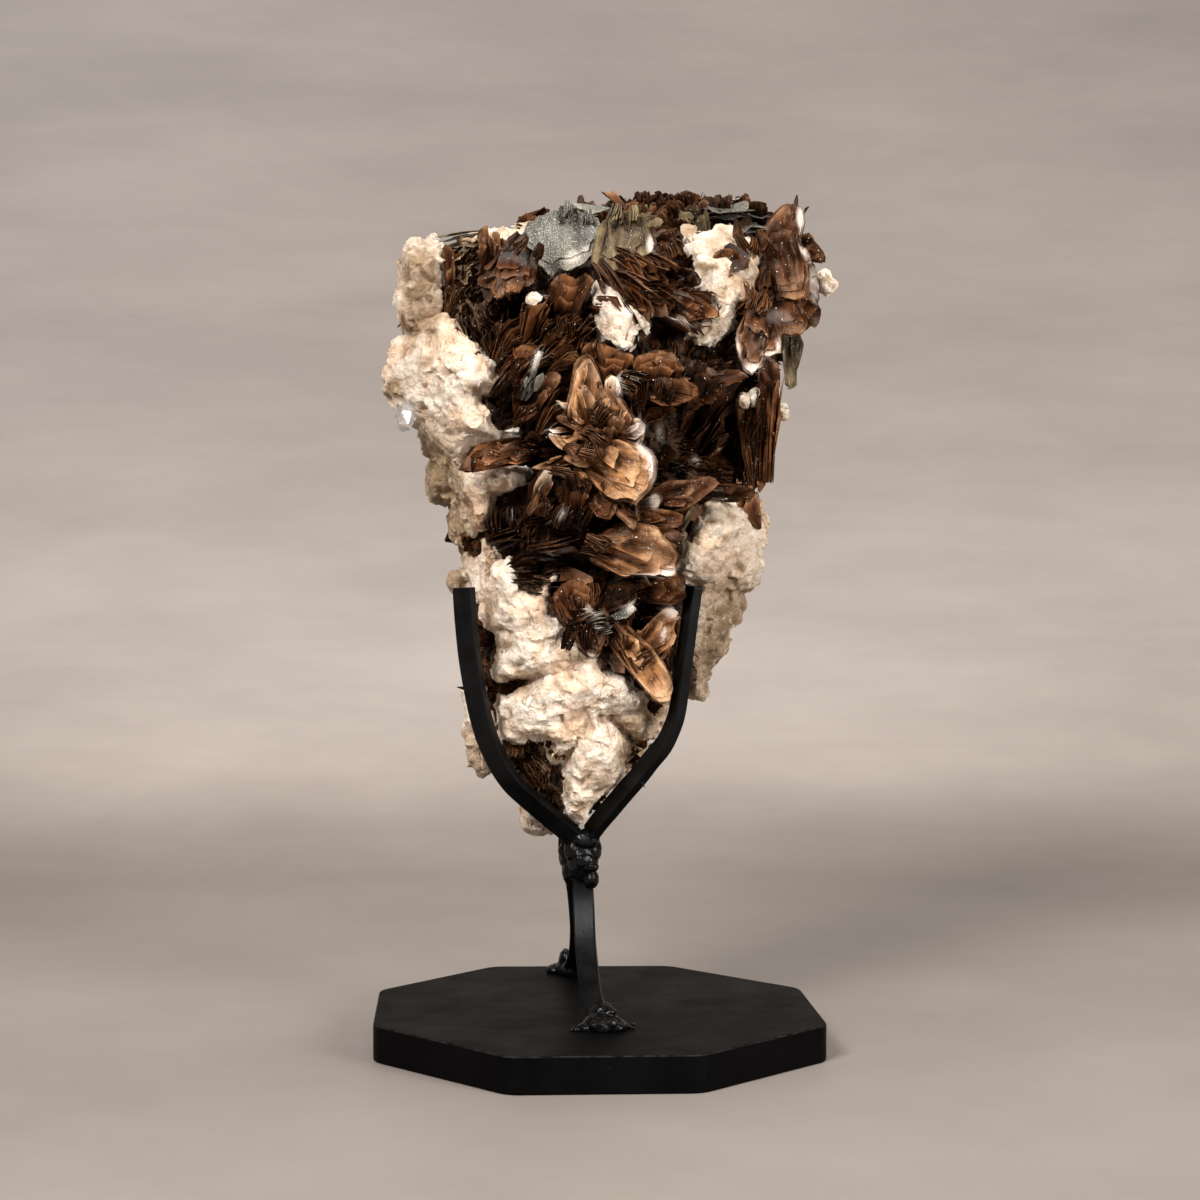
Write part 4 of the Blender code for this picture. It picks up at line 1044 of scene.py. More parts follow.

# Mica
# Books of brown mica: packs of thin, springy, glossy sheets that grow out of the matrix as
# fans, petals and upright blades. Sheets are darker at the root, a painted shade where they go into the rock,
# and paler at the thin rim, partly their own tone and partly painted light shining through it.
# Books that open to the front: (kind, x and z of the tip seen from EYE, growth direction from
# +X towards +Z, lift towards the front, turn of the sheets (0 flat on, 90 edge on), length,
# half of the angle it fans over, spread between its outer sheets, how far the tip stands out),
# in mm and degrees
FRONT_BOOKS = (
    ("brown", -66, 370, 100, 25, 0, 22, 22, 12, 6),
    ("brown", -50, 377, 97, 18, 50, 28, 18, 12, 10),
    ("dark", -72, 350, 140, 35, 40, 18, 34, 20, 8),
    ("dark", -59, 345, 112, 32, 80, 40, 20, 26, 10),
    ("dark", -47, 333, 112, 32, 80, 38, 20, 26, 8),
    ("brown", -10, 348, 54, 28, 74, 40, 22, 24, 12),
    ("brown", -24, 338, 52, 30, 66, 36, 24, 24, 10),
    ("brown", -3, 330, 44, 25, 45, 30, 24, 20, 10),
    ("brown", -32, 324, 75, 38, 10, 18, 38, 16, 8),
    ("brown", -16, 309, 62, 22, 55, 30, 20, 22, 10),
    ("brown", -12, 386, 75, 20, 40, 20, 40, 20, 4),
    ("olive", 28, 396, 95, 5, 30, 18, 48, 22, -20),
    ("silver", 50, 378, -95, 68, 0, 34, 40, 8, 3),
    ("silver", 74, 377, -80, 68, 0, 34, 40, 8, 3),
    ("dark", 60, 395, 90, 5, 20, 16, 55, 20, -30),
    ("dark", 79, 390, 70, 5, 20, 14, 50, 20, -26),
    ("brown", 94, 386, 83, 10, 10, 46, 17, 10, 6),
    ("dark", 105, 367, 12, 5, 30, 18, 40, 22, -6),
    ("dark", 104, 337, -10, 5, 30, 16, 38, 22, -10),
    ("brown", 43, 335, -38, 22, 62, 40, 18, 20, 14),
    ("brown", 30, 345, -42, 26, 68, 34, 18, 20, 12),
    ("brown", 41, 374, 95, 18, 70, 40, 14, 16, 10),
    ("brown", 58, 338, -15, 22, 66, 26, 20, 16, 16),
    ("dark", 22, 321, 118, 32, 10, 22, 38, 16, 6),
    ("brown", 37, 320, 80, 32, 10, 22, 38, 16, 6),
    ("brown", 46, 302, -15, 26, 0, 30, 30, 16, 8),
    ("brown", 71, 310, 6, 14, 30, 30, 14, 12, 8),
    ("dark", 60, 326, 65, 28, 30, 22, 34, 20, 4),
    ("brown", 78, 316, 89, 12, 75, 56, 6, 3, 5),
    ("dark", 58, 303, 66, 12, 72, 40, 14, 18, -14),
    ("dark", 40, 282, 15, 36, 10, 24, 50, 18, 2),
    ("brown", -1, 318, 91, 20, 0, 42, 17, 14, 16),
    ("brown", -18, 297, 165, 22, 10, 28, 18, 16, 16),
    ("brown", -18, 281, 178, 20, 10, 30, 15, 16, 16),
    ("brown", 10, 311, 74, 18, 0, 30, 16, 12, 17),
    ("brown", 25, 287, 8, 22, 0, 28, 22, 14, 17),
    ("brown", 28, 268, -18, 24, 0, 36, 36, 14, 20),
    ("brown", -22, 267, 76, 22, 10, 26, 18, 14, 10),
    ("brown", -6, 265, 80, 36, 0, 18, 48, 20, 13),
    ("dark", -38, 255, 96, 18, 74, 30, 15, 22, 8),
    ("dark", -4, 245, 20, 26, 68, 36, 20, 24, 10),
    ("dark", -10, 229, 16, 24, 60, 34, 20, 24, 12),
    ("brown", 37, 221, -12, 26, 6, 40, 24, 14, 19),
    ("taupe", 56, 259, 18, 22, 20, 36, 16, 14, 10),
    ("brown", -8, 216, 84, 32, 0, 18, 42, 16, 10),
    ("brown", 1, 203, -55, 30, 0, 24, 36, 18, 13),
    ("dark", 18, 202, 18, 30, 20, 24, 24, 18, 12),
    ("dark", 44, 210, 0, 22, 30, 24, 28, 20, 4),
    ("brown", 36, 200, 55, 16, 10, 20, 24, 12, 2),
)
# Great sheets that face the front: (kind, how far the rim stands out, how far it rises above the
# root, layers, growth direction from +X towards +Z, outline seen from EYE), in mm and degrees
PLATES = (
    ("brown", 15, 9, 4, -112, ((-47, 361), (-51, 356), (-53.5, 351), (-50, 349), (-47, 349.5),
     (-46, 346.5), (-43, 344.5), (-40, 346), (-37, 347.5), (-33, 348), (-32, 350), (-27, 351),
     (-25, 356), (-26, 360), (-30, 363), (-36, 366), (-42, 366))),
    ("taupe", 13, 4, 3, 95, ((-53.5, 371), (-52, 376), (-49, 378), (-46.5, 376.5), (-47, 370),
     (-47.5, 362), (-49, 359), (-51, 364))),
    ("tan", 11, 4, 2, 95, ((-46.5, 370), (-46, 375.5), (-43, 376), (-41.5, 372), (-41, 366), (-44, 362))),
    ("brown", 12, 5, 3, 100, ((-41, 366), (-40, 371), (-33, 372), (-30, 370), (-27, 365), (-26, 361), (-33, 362))),
    ("taupe", 11, 5, 3, 95, ((-69, 360), (-69.3, 366), (-67.5, 369.5), (-65, 369), (-63, 365), (-62.5, 359), (-63, 352), (-67, 352))),
    ("silver", 19, 4, 3, -90, ((-33, 373), (-30, 376), (-26.5, 376.5), (-20, 380), (-13.5, 381.5),
     (-10, 380), (-7, 379), (0, 378.7), (5, 377.5), (6, 375), (2, 371), (0.3, 368), (0, 364), (-4, 361),
     (-8, 359.5), (-12, 357.5), (-16, 357.5), (-18.5, 355), (-22, 358), (-25, 361), (-27, 366), (-30, 369))),
    ("olive", 18, 4, 3, -90, ((4, 376), (7, 377.5), (10, 377), (15, 379.5), (20, 377.5), (24, 378),
     (27, 375), (28, 370), (27, 366), (23, 364), (20, 360), (17.5, 354), (12, 352.5), (5, 352.5), (1, 357),
     (0, 363), (0.5, 371))),
    ("brown", 13, 7, 3, 70, ((-20, 352), (-13, 357), (-8, 354), (-3, 357), (1, 353), (-1, 348), (-7, 338), (-14, 336), (-19, 344))),
    ("brown", 14, 6, 4, 75, ((-38, 317), (-36, 322), (-32, 324.5), (-28, 323.5), (-26, 321), (-27, 316), (-30, 312), (-35, 310.5), (-38, 313))),
    ("silver", 15, 4, 1, 75, ((-28, 314), (-27, 319), (-24.5, 322), (-22, 320.5), (-24, 315), (-27, 311))),
    ("taupe", 14, 6, 4, 60, ((-27, 301), (-24, 307), (-21, 311), (-17, 312), (-14.5, 310), (-15, 305), (-19, 300), (-24, 295), (-28, 297))),
    ("brown", 13, 6, 3, 80, ((-6, 320), (-2, 326), (4, 325), (10, 322.5), (18, 320), (20, 315), (14, 311), (8, 311), (4, 306), (0, 312), (-4, 315))),
    ("brown", 15, 5, 4, 80, ((18, 314), (21, 319), (27, 321), (34, 321.5), (38, 320), (41, 315), (43, 312), (36, 309), (28, 308), (20, 310))),
    ("dark", 14, 5, 3, 80, ((39, 311), (43, 315), (48, 317.5), (53, 315), (58, 311), (60, 308), (54, 305), (46, 304), (41, 307))),
    ("brown", 12, 4, 3, 6, ((48, 309), (56, 312.5), (66, 313), (71, 311), (72, 309), (66, 307), (58, 303), (50, 304), (46, 306))),
    ("brown", 17, 6, 4, -15, ((20, 303), (24, 309), (32, 310), (42, 309), (48, 305), (49, 301), (45, 298), (38, 296), (30, 296), (24, 299))),
    ("brown", 15, 5, 3, 80, ((12, 306), (15, 311), (20, 309), (22, 303), (21, 298), (16, 299), (13, 303))),
    ("tan", 25, 12, 6, 91, ((-8, 312), (-4, 317.5), (-1, 318.5), (1, 315), (4, 308), (5, 304), (9, 302),
     (13, 299), (17, 293), (19, 289), (14, 284), (8, 280), (0, 279), (-8, 283), (-12, 290), (-11, 297), (-9, 304))),
    ("pale", 24, 5, 3, 74, ((4.5, 304), (6, 308.5), (9, 310.8), (11.5, 309), (13.2, 304.5), (12.5, 300), (9, 297), (6, 300))),
    ("tan", 23, 8, 4, 160, ((-17, 299), (-13, 298.5), (-8, 296), (-3, 292), (-1, 287), (-8, 288), (-13, 294))),
    ("tan", 22, 8, 4, 170, ((-17.5, 291), (-14, 293), (-9, 291), (-3, 287), (-6, 283), (-14, 287.5))),
    ("tan", 22, 8, 4, 178, ((-21, 283), (-19, 284.5), (-14, 282.5), (-8, 280), (-3, 277), (-9, 275), (-15, 276), (-19, 280))),
    ("tan", 21, 8, 3, 184, ((-14, 272), (-9, 276), (-4, 276), (1, 273), (1, 268), (-6, 267.5), (-11, 270))),
    ("pale", 23, 6, 3, 8, ((16, 288.5), (19, 291), (22, 290), (24.5, 287.5), (25, 284), (22, 281), (18, 280), (15, 284))),
    ("tan", 29, 13, 7, -28, ((0, 281), (8, 282.5), (16, 281), (20, 279), (24, 276), (27, 273), (28.7, 269),
     (28, 264), (26, 259), (22, 255), (20, 252), (16, 254), (10, 253), (4, 256), (0, 262), (-2, 270))),
    ("brown", 22, 6, 5, 80, ((-13.5, 256), (-12.5, 262), (-8, 266), (-3, 265.5), (0, 261), (-1, 255), (-4, 250.5), (-10, 250))),
    ("pale", 18, 7, 3, 76, ((-28, 257), (-25, 263), (-22, 267), (-19, 266), (-18, 262), (-20, 257), (-24, 254))),
    ("tan", 17, 6, 3, 190, ((-29, 267), (-22, 270.5), (-14, 273), (-8, 273.5), (-8, 269), (-14, 268.5), (-20, 266.5))),
    ("taupe", 24, 8, 3, -78, ((11, 254), (20, 253), (21, 246), (20, 240), (18, 238.5), (14, 243), (9, 248))),
    ("brown", 23, 7, 3, -60, ((-1, 258), (6, 263), (11, 255), (12, 249), (8, 243), (2, 245), (-2, 251))),
    ("tan", 24, 6, 5, -14, ((5, 233), (11, 238), (16, 241.5), (20, 243), (25, 241), (30, 239.5), (33, 234.5),
     (37.5, 231), (40, 226), (38, 222.5), (38.5, 218), (34, 216.8), (29, 219.5), (22, 219.5), (15, 217), (9, 219),
     (3, 224))),
    ("taupe", 18, 6, 4, 18, ((29, 259), (36, 261.5), (46, 261.5), (52, 263.5), (56, 262.8), (58.5, 260),
     (55, 257), (50, 253.5), (46, 250), (40, 247), (33, 246), (27, 249), (25, 255))),
    ("pale", 20, 2, 2, 10, ((25.5, 253), (27, 255.5), (30, 255.5), (31.5, 252), (30, 248.5), (27, 248.5))),
    ("brown", 18, 5, 3, 10, ((21, 247), (28, 249), (36, 248), (42, 246), (42, 241), (36, 239), (30, 238), (22, 240))),
    ("brown", 19, 5, 3, 10, ((20, 238), (26, 239.5), (36, 240.5), (42, 237), (41, 231), (34, 230), (28, 233), (22, 236))),
    ("brown", 17, 6, 5, 84, ((-14, 214), (-10, 216.3), (-4, 215), (0, 211), (1.5, 206), (1, 201), (-3, 198), (-7, 194),
     (-11, 197), (-16, 201), (-18.5, 205), (-17, 210))),
    ("taupe", 18, 6, 5, -70, ((-7, 192), (-3, 197), (2, 202), (6, 204), (8, 200), (7, 193), (6, 188), (4, 183), (1, 179.8), (-1, 180), (-5, 183), (-8, 187))),
    ("dark", 16, 5, 4, 40, ((1, 206), (6, 212), (14, 216), (20, 214), (21, 207), (16, 201), (8, 197), (2, 199))),
    ("silver", 18, 4, 2, 20, ((11, 200), (15, 204.5), (19, 204.5), (20.5, 202), (18, 199.5), (14, 197))),
    ("brown", 12, 5, 4, 0, ((24, 212), (28, 217), (35, 218), (39, 220), (43, 216), (46, 210), (43, 207), (38, 204.5), (33, 203.5), (27, 205))),
    ("tan", 11, 5, 4, 50, ((20, 193), (25, 193), (28, 198), (33, 202.5), (37, 203.3), (40, 201), (41, 194), (38, 186), (30, 180), (22, 184))),
    ("tan", 14, 6, 5, -48, ((7, 189), (13, 192), (19, 193), (25, 188), (32, 178), (37, 170), (38, 165), (36, 159.5),
     (31, 159), (27, 161.5), (22, 168), (18, 173), (13, 177), (9, 182))),
    ("tan", 13, 5, 3, 84, ((33, 188), (35, 197), (38.5, 200.5), (41, 196), (40.3, 186), (38.3, 177), (36, 172), (33.5, 180))),
    ("dark", 13, 3, 2, -60, ((7, 186), (10, 184), (15, 176), (15, 172.5), (9, 172.5), (6.5, 178))),
    ("brown", 20, 4, 5, 192, ((-60.5, 267), (-57.5, 272.5), (-53.5, 277.8), (-47, 279.2), (-40, 280.3), (-31, 282.3),
     (-28.5, 278), (-31, 271.5), (-33.5, 268.5), (-38, 269.3), (-43, 271), (-50, 268.5), (-53.5, 265.5), (-58, 265.8))),
    ("taupe", 15, 6, 4, -84, ((77, 341), (82, 343.5), (90, 346), (95, 344), (99, 339), (100, 333), (97, 329), (90, 328.5), (82, 329.5), (77, 333))),
    ("taupe", 19, 8, 5, -103, ((67, 330), (70, 339), (75, 343), (79, 341), (80, 334), (84, 331), (88, 329), (86, 325),
     (86.8, 321), (82, 319), (79, 319), (77, 314.5), (74, 311), (70.5, 313), (69, 317), (66.5, 323))),
    ("taupe", 14, 7, 5, -84, ((72, 346), (75, 352), (78, 358), (80, 364), (88, 366), (96, 368), (99, 362), (100, 354), (99, 347), (94, 344.5), (88, 345), (80, 343), (74, 343))),
    ("taupe", 10, 5, 4, 83, ((82, 382), (87.5, 388), (93, 388.5), (97, 386), (98, 381), (96, 375), (95, 370), (96, 366), (90, 362), (84, 364), (80, 370), (79, 377))),
    ("pale", 6, 3, 3, 0, ((97, 369), (99, 368), (103, 360), (105.2, 352), (105, 346), (102, 343), (99, 347), (100, 355), (98, 362))),
    ("olive", 1, 3, 3, -80, ((88, 330), (95, 330), (98, 326), (96.5, 318), (95, 313), (92, 309), (94.5, 306), (91, 303.5), (88, 308), (87, 318))),
    ("dark", -4, 3, 4, 10, ((96, 374), (99, 375), (103, 371), (107.5, 366), (107, 362), (103, 361), (99, 362), (96, 367))),
    ("dark", -8, 3, 4, -10, ((98, 346), (103, 345), (105.5, 340), (105, 335), (102.5, 331.5), (99, 333), (97, 338))),
    ("brown", 9, 5, 3, 90, ((76, 318), (80, 320), (84, 317), (87, 314), (86, 300), (84, 292), (80, 290), (77, 300))),
    ("tan", 7, 3, 2, 90, ((78, 290), (82, 292), (84, 286), (83, 274), (80, 264), (77, 260), (75, 266), (76, 280))),
    ("dark", 12, 3, 3, 0, ((50, 259), (56, 260.5), (66, 260), (72, 259), (75, 257.5), (75, 254.5), (72, 252.5), (64, 252.5), (56, 254.5), (51, 256))),
    ("olive", 12, 3, 3, 60, ((41.5, 241), (43, 246.5), (47, 250.3), (48.3, 249), (46, 243.5), (43, 239.5))),
    ("brown", 16, 3, 3, 70, ((54.5, 363), (58, 367.5), (63, 368.8), (67, 367.5), (71, 363.5), (72.5, 361), (66, 362), (60, 362.5))),
    ("dark", 14, 4, 3, 30, ((40, 360), (44, 359.5), (49, 357), (50.5, 353), (48, 350), (44, 352))),
    ("brown", 16, 5, 4, -20, ((36, 348), (44, 349), (52, 344), (58.5, 338.5), (58, 336.5), (50, 336), (44, 334), (38, 340))),
)
# Thin rims that catch the light, painted pale as highlights: (x, z, half width, half height, turn in degrees,
# strength), in mm
RIM_HIGHLIGHT_SPOTS = (
    (27.3, 268, 1.8, 8.0, 8, 0.9),
    (23, 276, 2, 4, 40, 0.8),
    (12, 305, 1.6, 5, 12, 1.0),
    (22, 286, 3, 4, 0, 0.8),
    (35, 219.5, 4, 2, 15, 1.0),
    (28, 218, 6, 0.9, 0, 0.6),
    (74, 313, 4, 2.4, 0, 1.0),
    (83, 320, 4.5, 1.2, 5, 0.8),
    (86, 324, 1.2, 3.5, 0, 0.8),
    (96, 382, 1.6, 5, 5, 1.0),
    (67, 324, 1, 7, 10, 0.6),
    (27, 370, 1.8, 4, 0, 1.0),
    (-20, 356, 3.5, 1.4, -25, 0.8),
    (-9, 364, 4, 2.4, 20, 0.9),
    (-3, 367, 2, 2, 0, 0.6),
    (-19, 284, 3, 1.2, -20, 1.0),
    (-15, 297, 3, 0.9, -30, 0.7),
    (-39.5, 253, 1.2, 3, 5, 0.9),
    (-37, 247, 1, 2, -20, 0.6),
    (29, 252, 2.5, 3.5, 0, 0.8),
    (31, 283, 1.4, 4.5, 10, 0.8),
    (37, 201, 4, 2.4, -20, 0.8),
    (33, 190, 0.8, 3, 0, 0.9),
    (18, 203, 2.4, 2.2, 30, 0.8),
    (-1, 201, 3, 1.6, -50, 0.7),
    (0, 180.3, 4, 0.8, 0, 0.6),
    (-17, 228, 6, 1, 25, 0.6),
    (-14, 246, 2.4, 2.4, 0, 0.5),
    (102, 352, 1.6, 8, 5, 0.9),
    (97.5, 366, 0.8, 4, 25, 1.0),
    (-26, 317, 2, 5, -20, 1.0),
    (-75, 340, 2, 3, 20, 1.0),
    (47.5, 271, 2, 1.6, -30, 1.0),
    (86, 337, 7, 3, -10, 0.16),
    (40, 335, 7, 0.8, -20, 0.6),
    (28, 336, 5, 1, -35, 0.7),
    (64, 249, 0.6, 0.6, 0, 0.4),
)
SHEET_GAP = 0.00062  # between neighbouring sheets of a packet
PACKET_GAP = 0.0008  # added between packets
BOOK_GRID = (4, 6)
SMALL_GRID = (3, 6)
PLATE_STEP = (0.0017, 0.0011)  # along and across the growth
ROOT_BEHIND = 1.2  # how far behind a plate its streaks meet, in plate lengths
FOLDS = {"silver": 0.22, "olive": 0.75}  # how deep a sheet is folded, where it isn't 1
FLAT_BOOK_GRID = (8, 11)
SHEET_SEED = 5
kinds = {"dark": [], "brown": [], "taupe": [], "tan": [], "pale": [], "silver": [], "olive": []}


def leaf(points, rim, across, along, thickness, stack, shade):
    """One closed sheet from a grid of points: rows run from root to rim, columns across."""
    rows, columns = points.shape[:2]
    half = thickness / 2 * (1 - 0.7 * rim**4)
    offset = stack[None, None] * half[..., None]
    front, back = (points + offset).reshape(-1, 3), (points - offset).reshape(-1, 3)
    index = np.arange(rows * columns).reshape(rows, columns)
    a, b, c, d = index[:-1, :-1], index[:-1, 1:], index[1:, 1:], index[1:, :-1]
    quads = np.stack((a, b, c, d), -1).reshape(-1, 4)
    count = rows * columns
    edge = np.concatenate((index[0, :-1], index[:-1, -1], index[-1, :0:-1], index[:0:-1, 0]))
    following = np.roll(edge, -1)
    sides = np.stack((edge, edge + count, following + count, following), -1)
    faces = np.vstack((quads, quads[:, ::-1] + count, sides))
    uv = np.stack((across.ravel(), along.ravel()), -1)
    shade = np.broadcast_to(shade, rim.shape).ravel()
    return np.vstack((front, back)), faces, np.tile(rim.ravel(), 2), np.vstack((uv, uv)), np.tile(shade, 2)


def broken_rim(columns, dice):
    """How much has broken off a rim, 0 to 1 at each column, in straight runs between corners."""
    corners = sorted({0, columns - 1, *(dice.randrange(columns) for _ in range(columns // 2))})
    return np.interp(np.arange(columns), corners, [dice.random() ** 2 for _ in corners])


def crumple(across, along, seed):
    """The folds of a sheet at this place in mm: how far they stand out, in mm, and a cloud of tone made paler on the
    crests, a painted light and shade on the folds.
    """
    broad = 2.4 * noise.noise(Vector((across / 8, along / 26, seed)))
    crest = 0.8 - 2.6 * abs(noise.noise(Vector((across / 3.6, along / 13, seed + 7))))
    wrinkle = 0.45 * noise.noise(Vector((across / 1.5, along / 5, seed + 13)))
    cloud = noise.noise(Vector((across / 5, along / 16, seed + 21)))
    return broad + crest + wrinkle, cloud + 0.25 * crest


def crumpled(across, along, seed):
    """The folds and the clouds, with their painted crest light, over a grid of places in mm."""
    pairs = [crumple(u, v, seed) for u, v in zip(across.ravel(), along.ravel())]
    return np.array(pairs).reshape(*across.shape, 2)


def fan_sheet(
    root, axes, length, half, taper, curl, cup, dice, thickness, shade, grid=BOOK_GRID, fold=0.25, seed=0.0
):
    """A fan or blade that grows from root. taper 1 is a straight-sided fan, 0 a parallel blade."""
    rows, columns = grid
    growth, width, stack = (np.array(axis) for axis in axes)
    t = np.linspace(-1, 1, columns)
    r = np.linspace(0.04, 1, rows)
    peak, slope = dice.uniform(-0.8, 0.8), dice.uniform(0.10, 0.32)
    reach = 1 - slope * np.abs(t - peak) - 0.22 * broken_rim(columns, dice)
    across, along = np.meshgrid(t, r)
    angle = across * half
    radius = along * reach[None]
    forward = radius * np.cos(angle) * length
    sideways = np.sin(angle) * length * radius * along ** (taper - 1)
    phase, waves = dice.uniform(0, 6.28), dice.uniform(1.0, 2.4)
    ridge = 0.018 * np.sin(across * waves * 3.1 + phase + along * 1.5)
    u, v = across * half * length * 1000, along * length * 1000
    folds = crumpled(u, v, seed)
    out = curl * along**2 + cup * across**2 * along + ridge * along
    out += fold * folds[..., 0] * along / (length * 1000)
    points = (
        np.array(root)
        + growth * forward[..., None]
        + width * sideways[..., None]
        + stack * (out * length)[..., None]
    )
    rim = np.maximum(along, np.abs(across) ** 4 * 0.9)
    # Tone from the clouds, paler on fold crests and darker in creases: painted light and shade.
    shade = np.clip(shade + 0.5 * folds[..., 1], 0, 1)
    return leaf(points, rim, u + dice.uniform(0, 400), v + dice.uniform(0, 400), thickness, stack, shade)


def book_axes(aim, lift, turn):
    """The growth, width and stacking directions of a book that opens to the front."""
    aim, lift, turn = (math.radians(a) for a in (aim, lift, turn))
    front = Vector((0, -1, 0))
    growth = Vector((math.cos(aim), 0, math.sin(aim))) * math.cos(lift) + front * math.sin(lift)
    stack = (front - growth * front.dot(growth)).normalized()
    stack = Matrix.Rotation(turn, 3, growth) @ stack
    return growth, stack.cross(growth), stack


def grow_book(kind, tip, axes, length, half, spread, taper, sheets, dice, grid=BOOK_GRID, fold=0.25):
    """Sheets in packets of a few, spread like the pages of a book, from a root inside the rock."""
    growth, width, stack = axes
    seed = dice.uniform(0, 90)
    root = Vector(tip) - growth * length
    left, offset = 0, -sheets * SHEET_GAP / 2
    for i in range(sheets):
        if left == 0:
            left = dice.randint(2, 5)
            tilt, reach, tone = dice.uniform(-0.13, 0.13), dice.uniform(0.60, 1.0), dice.random()
            roll, slide = dice.uniform(-0.20, 0.20), dice.uniform(-0.0018, 0.0018)
            curl, cup = dice.uniform(-0.04, 0.10), dice.uniform(-0.09, 0.09)
            offset += PACKET_GAP * dice.random()
        left -= 1
        share = (i + 0.5) / sheets - 0.5
        lean = Matrix.Rotation(-spread * share + tilt + dice.uniform(-0.015, 0.015), 3, width)
        turned = [lean @ (Matrix.Rotation(roll + dice.uniform(-0.05, 0.05), 3, stack) @ axis) for axis in axes]
        offset += SHEET_GAP
        kinds[kind].append(
            fan_sheet(
                root + stack * offset + width * slide, turned, length * reach * dice.uniform(0.90, 1.0),
                half * dice.uniform(0.75, 1.1), taper, curl, cup, dice, dice.uniform(0.00035, 0.0006),
                min(max(tone + dice.uniform(-0.15, 0.15), 0), 1), grid, fold, seed + 0.2 * i,
            )
        )


def crossings(outline, angles):
    """How far out rays from the origin at these angles enter and leave an outline."""
    side = np.roll(outline, -1) - outline
    ray = np.exp(1j * angles)[:, None]
    turned = (ray.conj() * side).imag
    with np.errstate(divide="ignore", invalid="ignore"):
        reach = (outline.conj() * side).imag / turned
        share = (outline.conj() * ray).imag / turned
    hit = (share >= 0) & (share <= 1) & (reach > 0)
    return np.where(hit, reach, np.inf).min(1), np.where(hit, reach, 0).max(1)


def plate_sheet(outline, frame, aim, window, back, reach, rim_depth, rise, dice, thickness, tone, fold, coarse=1.0):
    """A folded sheet from behind its outline's near side to its broken far rim, as seen from EYE.

    frame holds the root, the growth direction, the mean reach and the seed of the whole plate's folds.
    """
    growth = complex(math.cos(aim), math.sin(aim))
    middle = outline.mean()
    ahead = ((outline - middle) / growth).real
    root = middle + growth * (ahead.min() - ROOT_BEHIND * np.ptp(ahead) - 0.002)
    local = (outline - root) / growth
    first, last = np.angle(local).min(), np.angle(local).max()
    first, last = first + (last - first) * window[0], first + (last - first) * window[1]
    mean_reach = float(np.abs(local).mean())
    columns = int(np.clip((last - first) * mean_reach / (PLATE_STEP[1] * coarse), 5, 44))
    angles = np.linspace(first, last, columns + 2)[1:-1]
    near, far = crossings(local, angles)
    near = np.where(np.isfinite(near), near, far)
    torn = np.array([
        1.7 * max(noise.noise(Vector((u / 4.2, 0, tone * 50))) + 0.25, 0) + 0.8 * abs(noise.noise(Vector((u, 3, tone * 50))))
        for u in angles * mean_reach * 1000
    ]) / 1000
    far = near + (far - near) * reach - np.minimum(torn, (far - near) * 0.25)
    near = np.maximum(near - back, near * 0.3)
    rows = int(np.clip((far - near).max() / (PLATE_STEP[0] * coarse), 4, 24))
    along = np.linspace(0, 1, rows)[:, None]
    radius = near + (far - near) * along
    place = root + growth * radius * np.exp(1j * angles)
    framed = (place - frame[0]) / frame[1]
    folds = crumpled(np.angle(framed) * frame[2] * 1000, np.abs(framed) * 1000, frame[3])
    swell = np.array([
        noise.noise(Vector((p.real * 60, p.imag * 60, 0))) for p in place.ravel()
    ]).reshape(place.shape)
    y = rim_depth + rise * (1 - along) ** 1.5 + 0.0016 * swell * max(fold, 0.4) - fold * folds[..., 0] / 1000
    points = slid_back(place.real, place.imag, y)
    aside = np.abs(np.linspace(-1, 1, columns))[None] ** 6
    rim = np.maximum(np.broadcast_to(along, place.shape), 0.85 * aside)
    shift = dice.uniform(0, 400)
    # Tone from the clouds, paler on fold crests and darker in creases: painted light and shade.
    shade = np.clip(0.25 + 0.4 * tone + 1.0 * folds[..., 1], 0, 1)
    across = np.broadcast_to(angles * mean_reach * 1000, place.shape)
    return leaf(points, rim, across + shift, radius * 1000 + shift, thickness, np.array((0, -1.0, 0)), shade)


def fringe(kind, outline, aim, rim_depth, dice):
    """Small blades that stand out all round the far rim of a plate."""
    growth = complex(math.cos(aim), math.sin(aim))
    middle = outline.mean()
    for start, end in zip(outline, np.roll(outline, -1)):
        for _ in range(round(abs(end - start) / 0.0065 + dice.random() - 0.5)):
            place = start + (end - start) * dice.random()
            outward = (place - middle) / growth
            if outward.real < -0.2 * abs(outward):
                continue
            way = math.degrees(np.angle((place - middle) / abs(place - middle) + 1.6 * growth))
            length, lift = dice.uniform(0.006, 0.012), dice.uniform(-6, 34)
            axes = book_axes(way + dice.uniform(-20, 20), lift, dice.uniform(-50, 50))
            tip = place + (place - middle) / abs(place - middle) * dice.uniform(-0.0030, 0.0010)
            tip = slid_back(tip.real, tip.imag, rim_depth + dice.uniform(-0.0012, 0.0020))
            for sheet in range(2):
                kinds[kind].append(
                    fan_sheet(
                        Vector(tip) - axes[0] * length + axes[2] * 0.0006 * sheet, axes, length,
                        math.radians(dice.uniform(6, 14)), 0.4, dice.uniform(-0.05, 0.05), 0, dice,
                        dice.uniform(0.0003, 0.0006), dice.random(), SMALL_GRID,
                    )
                )


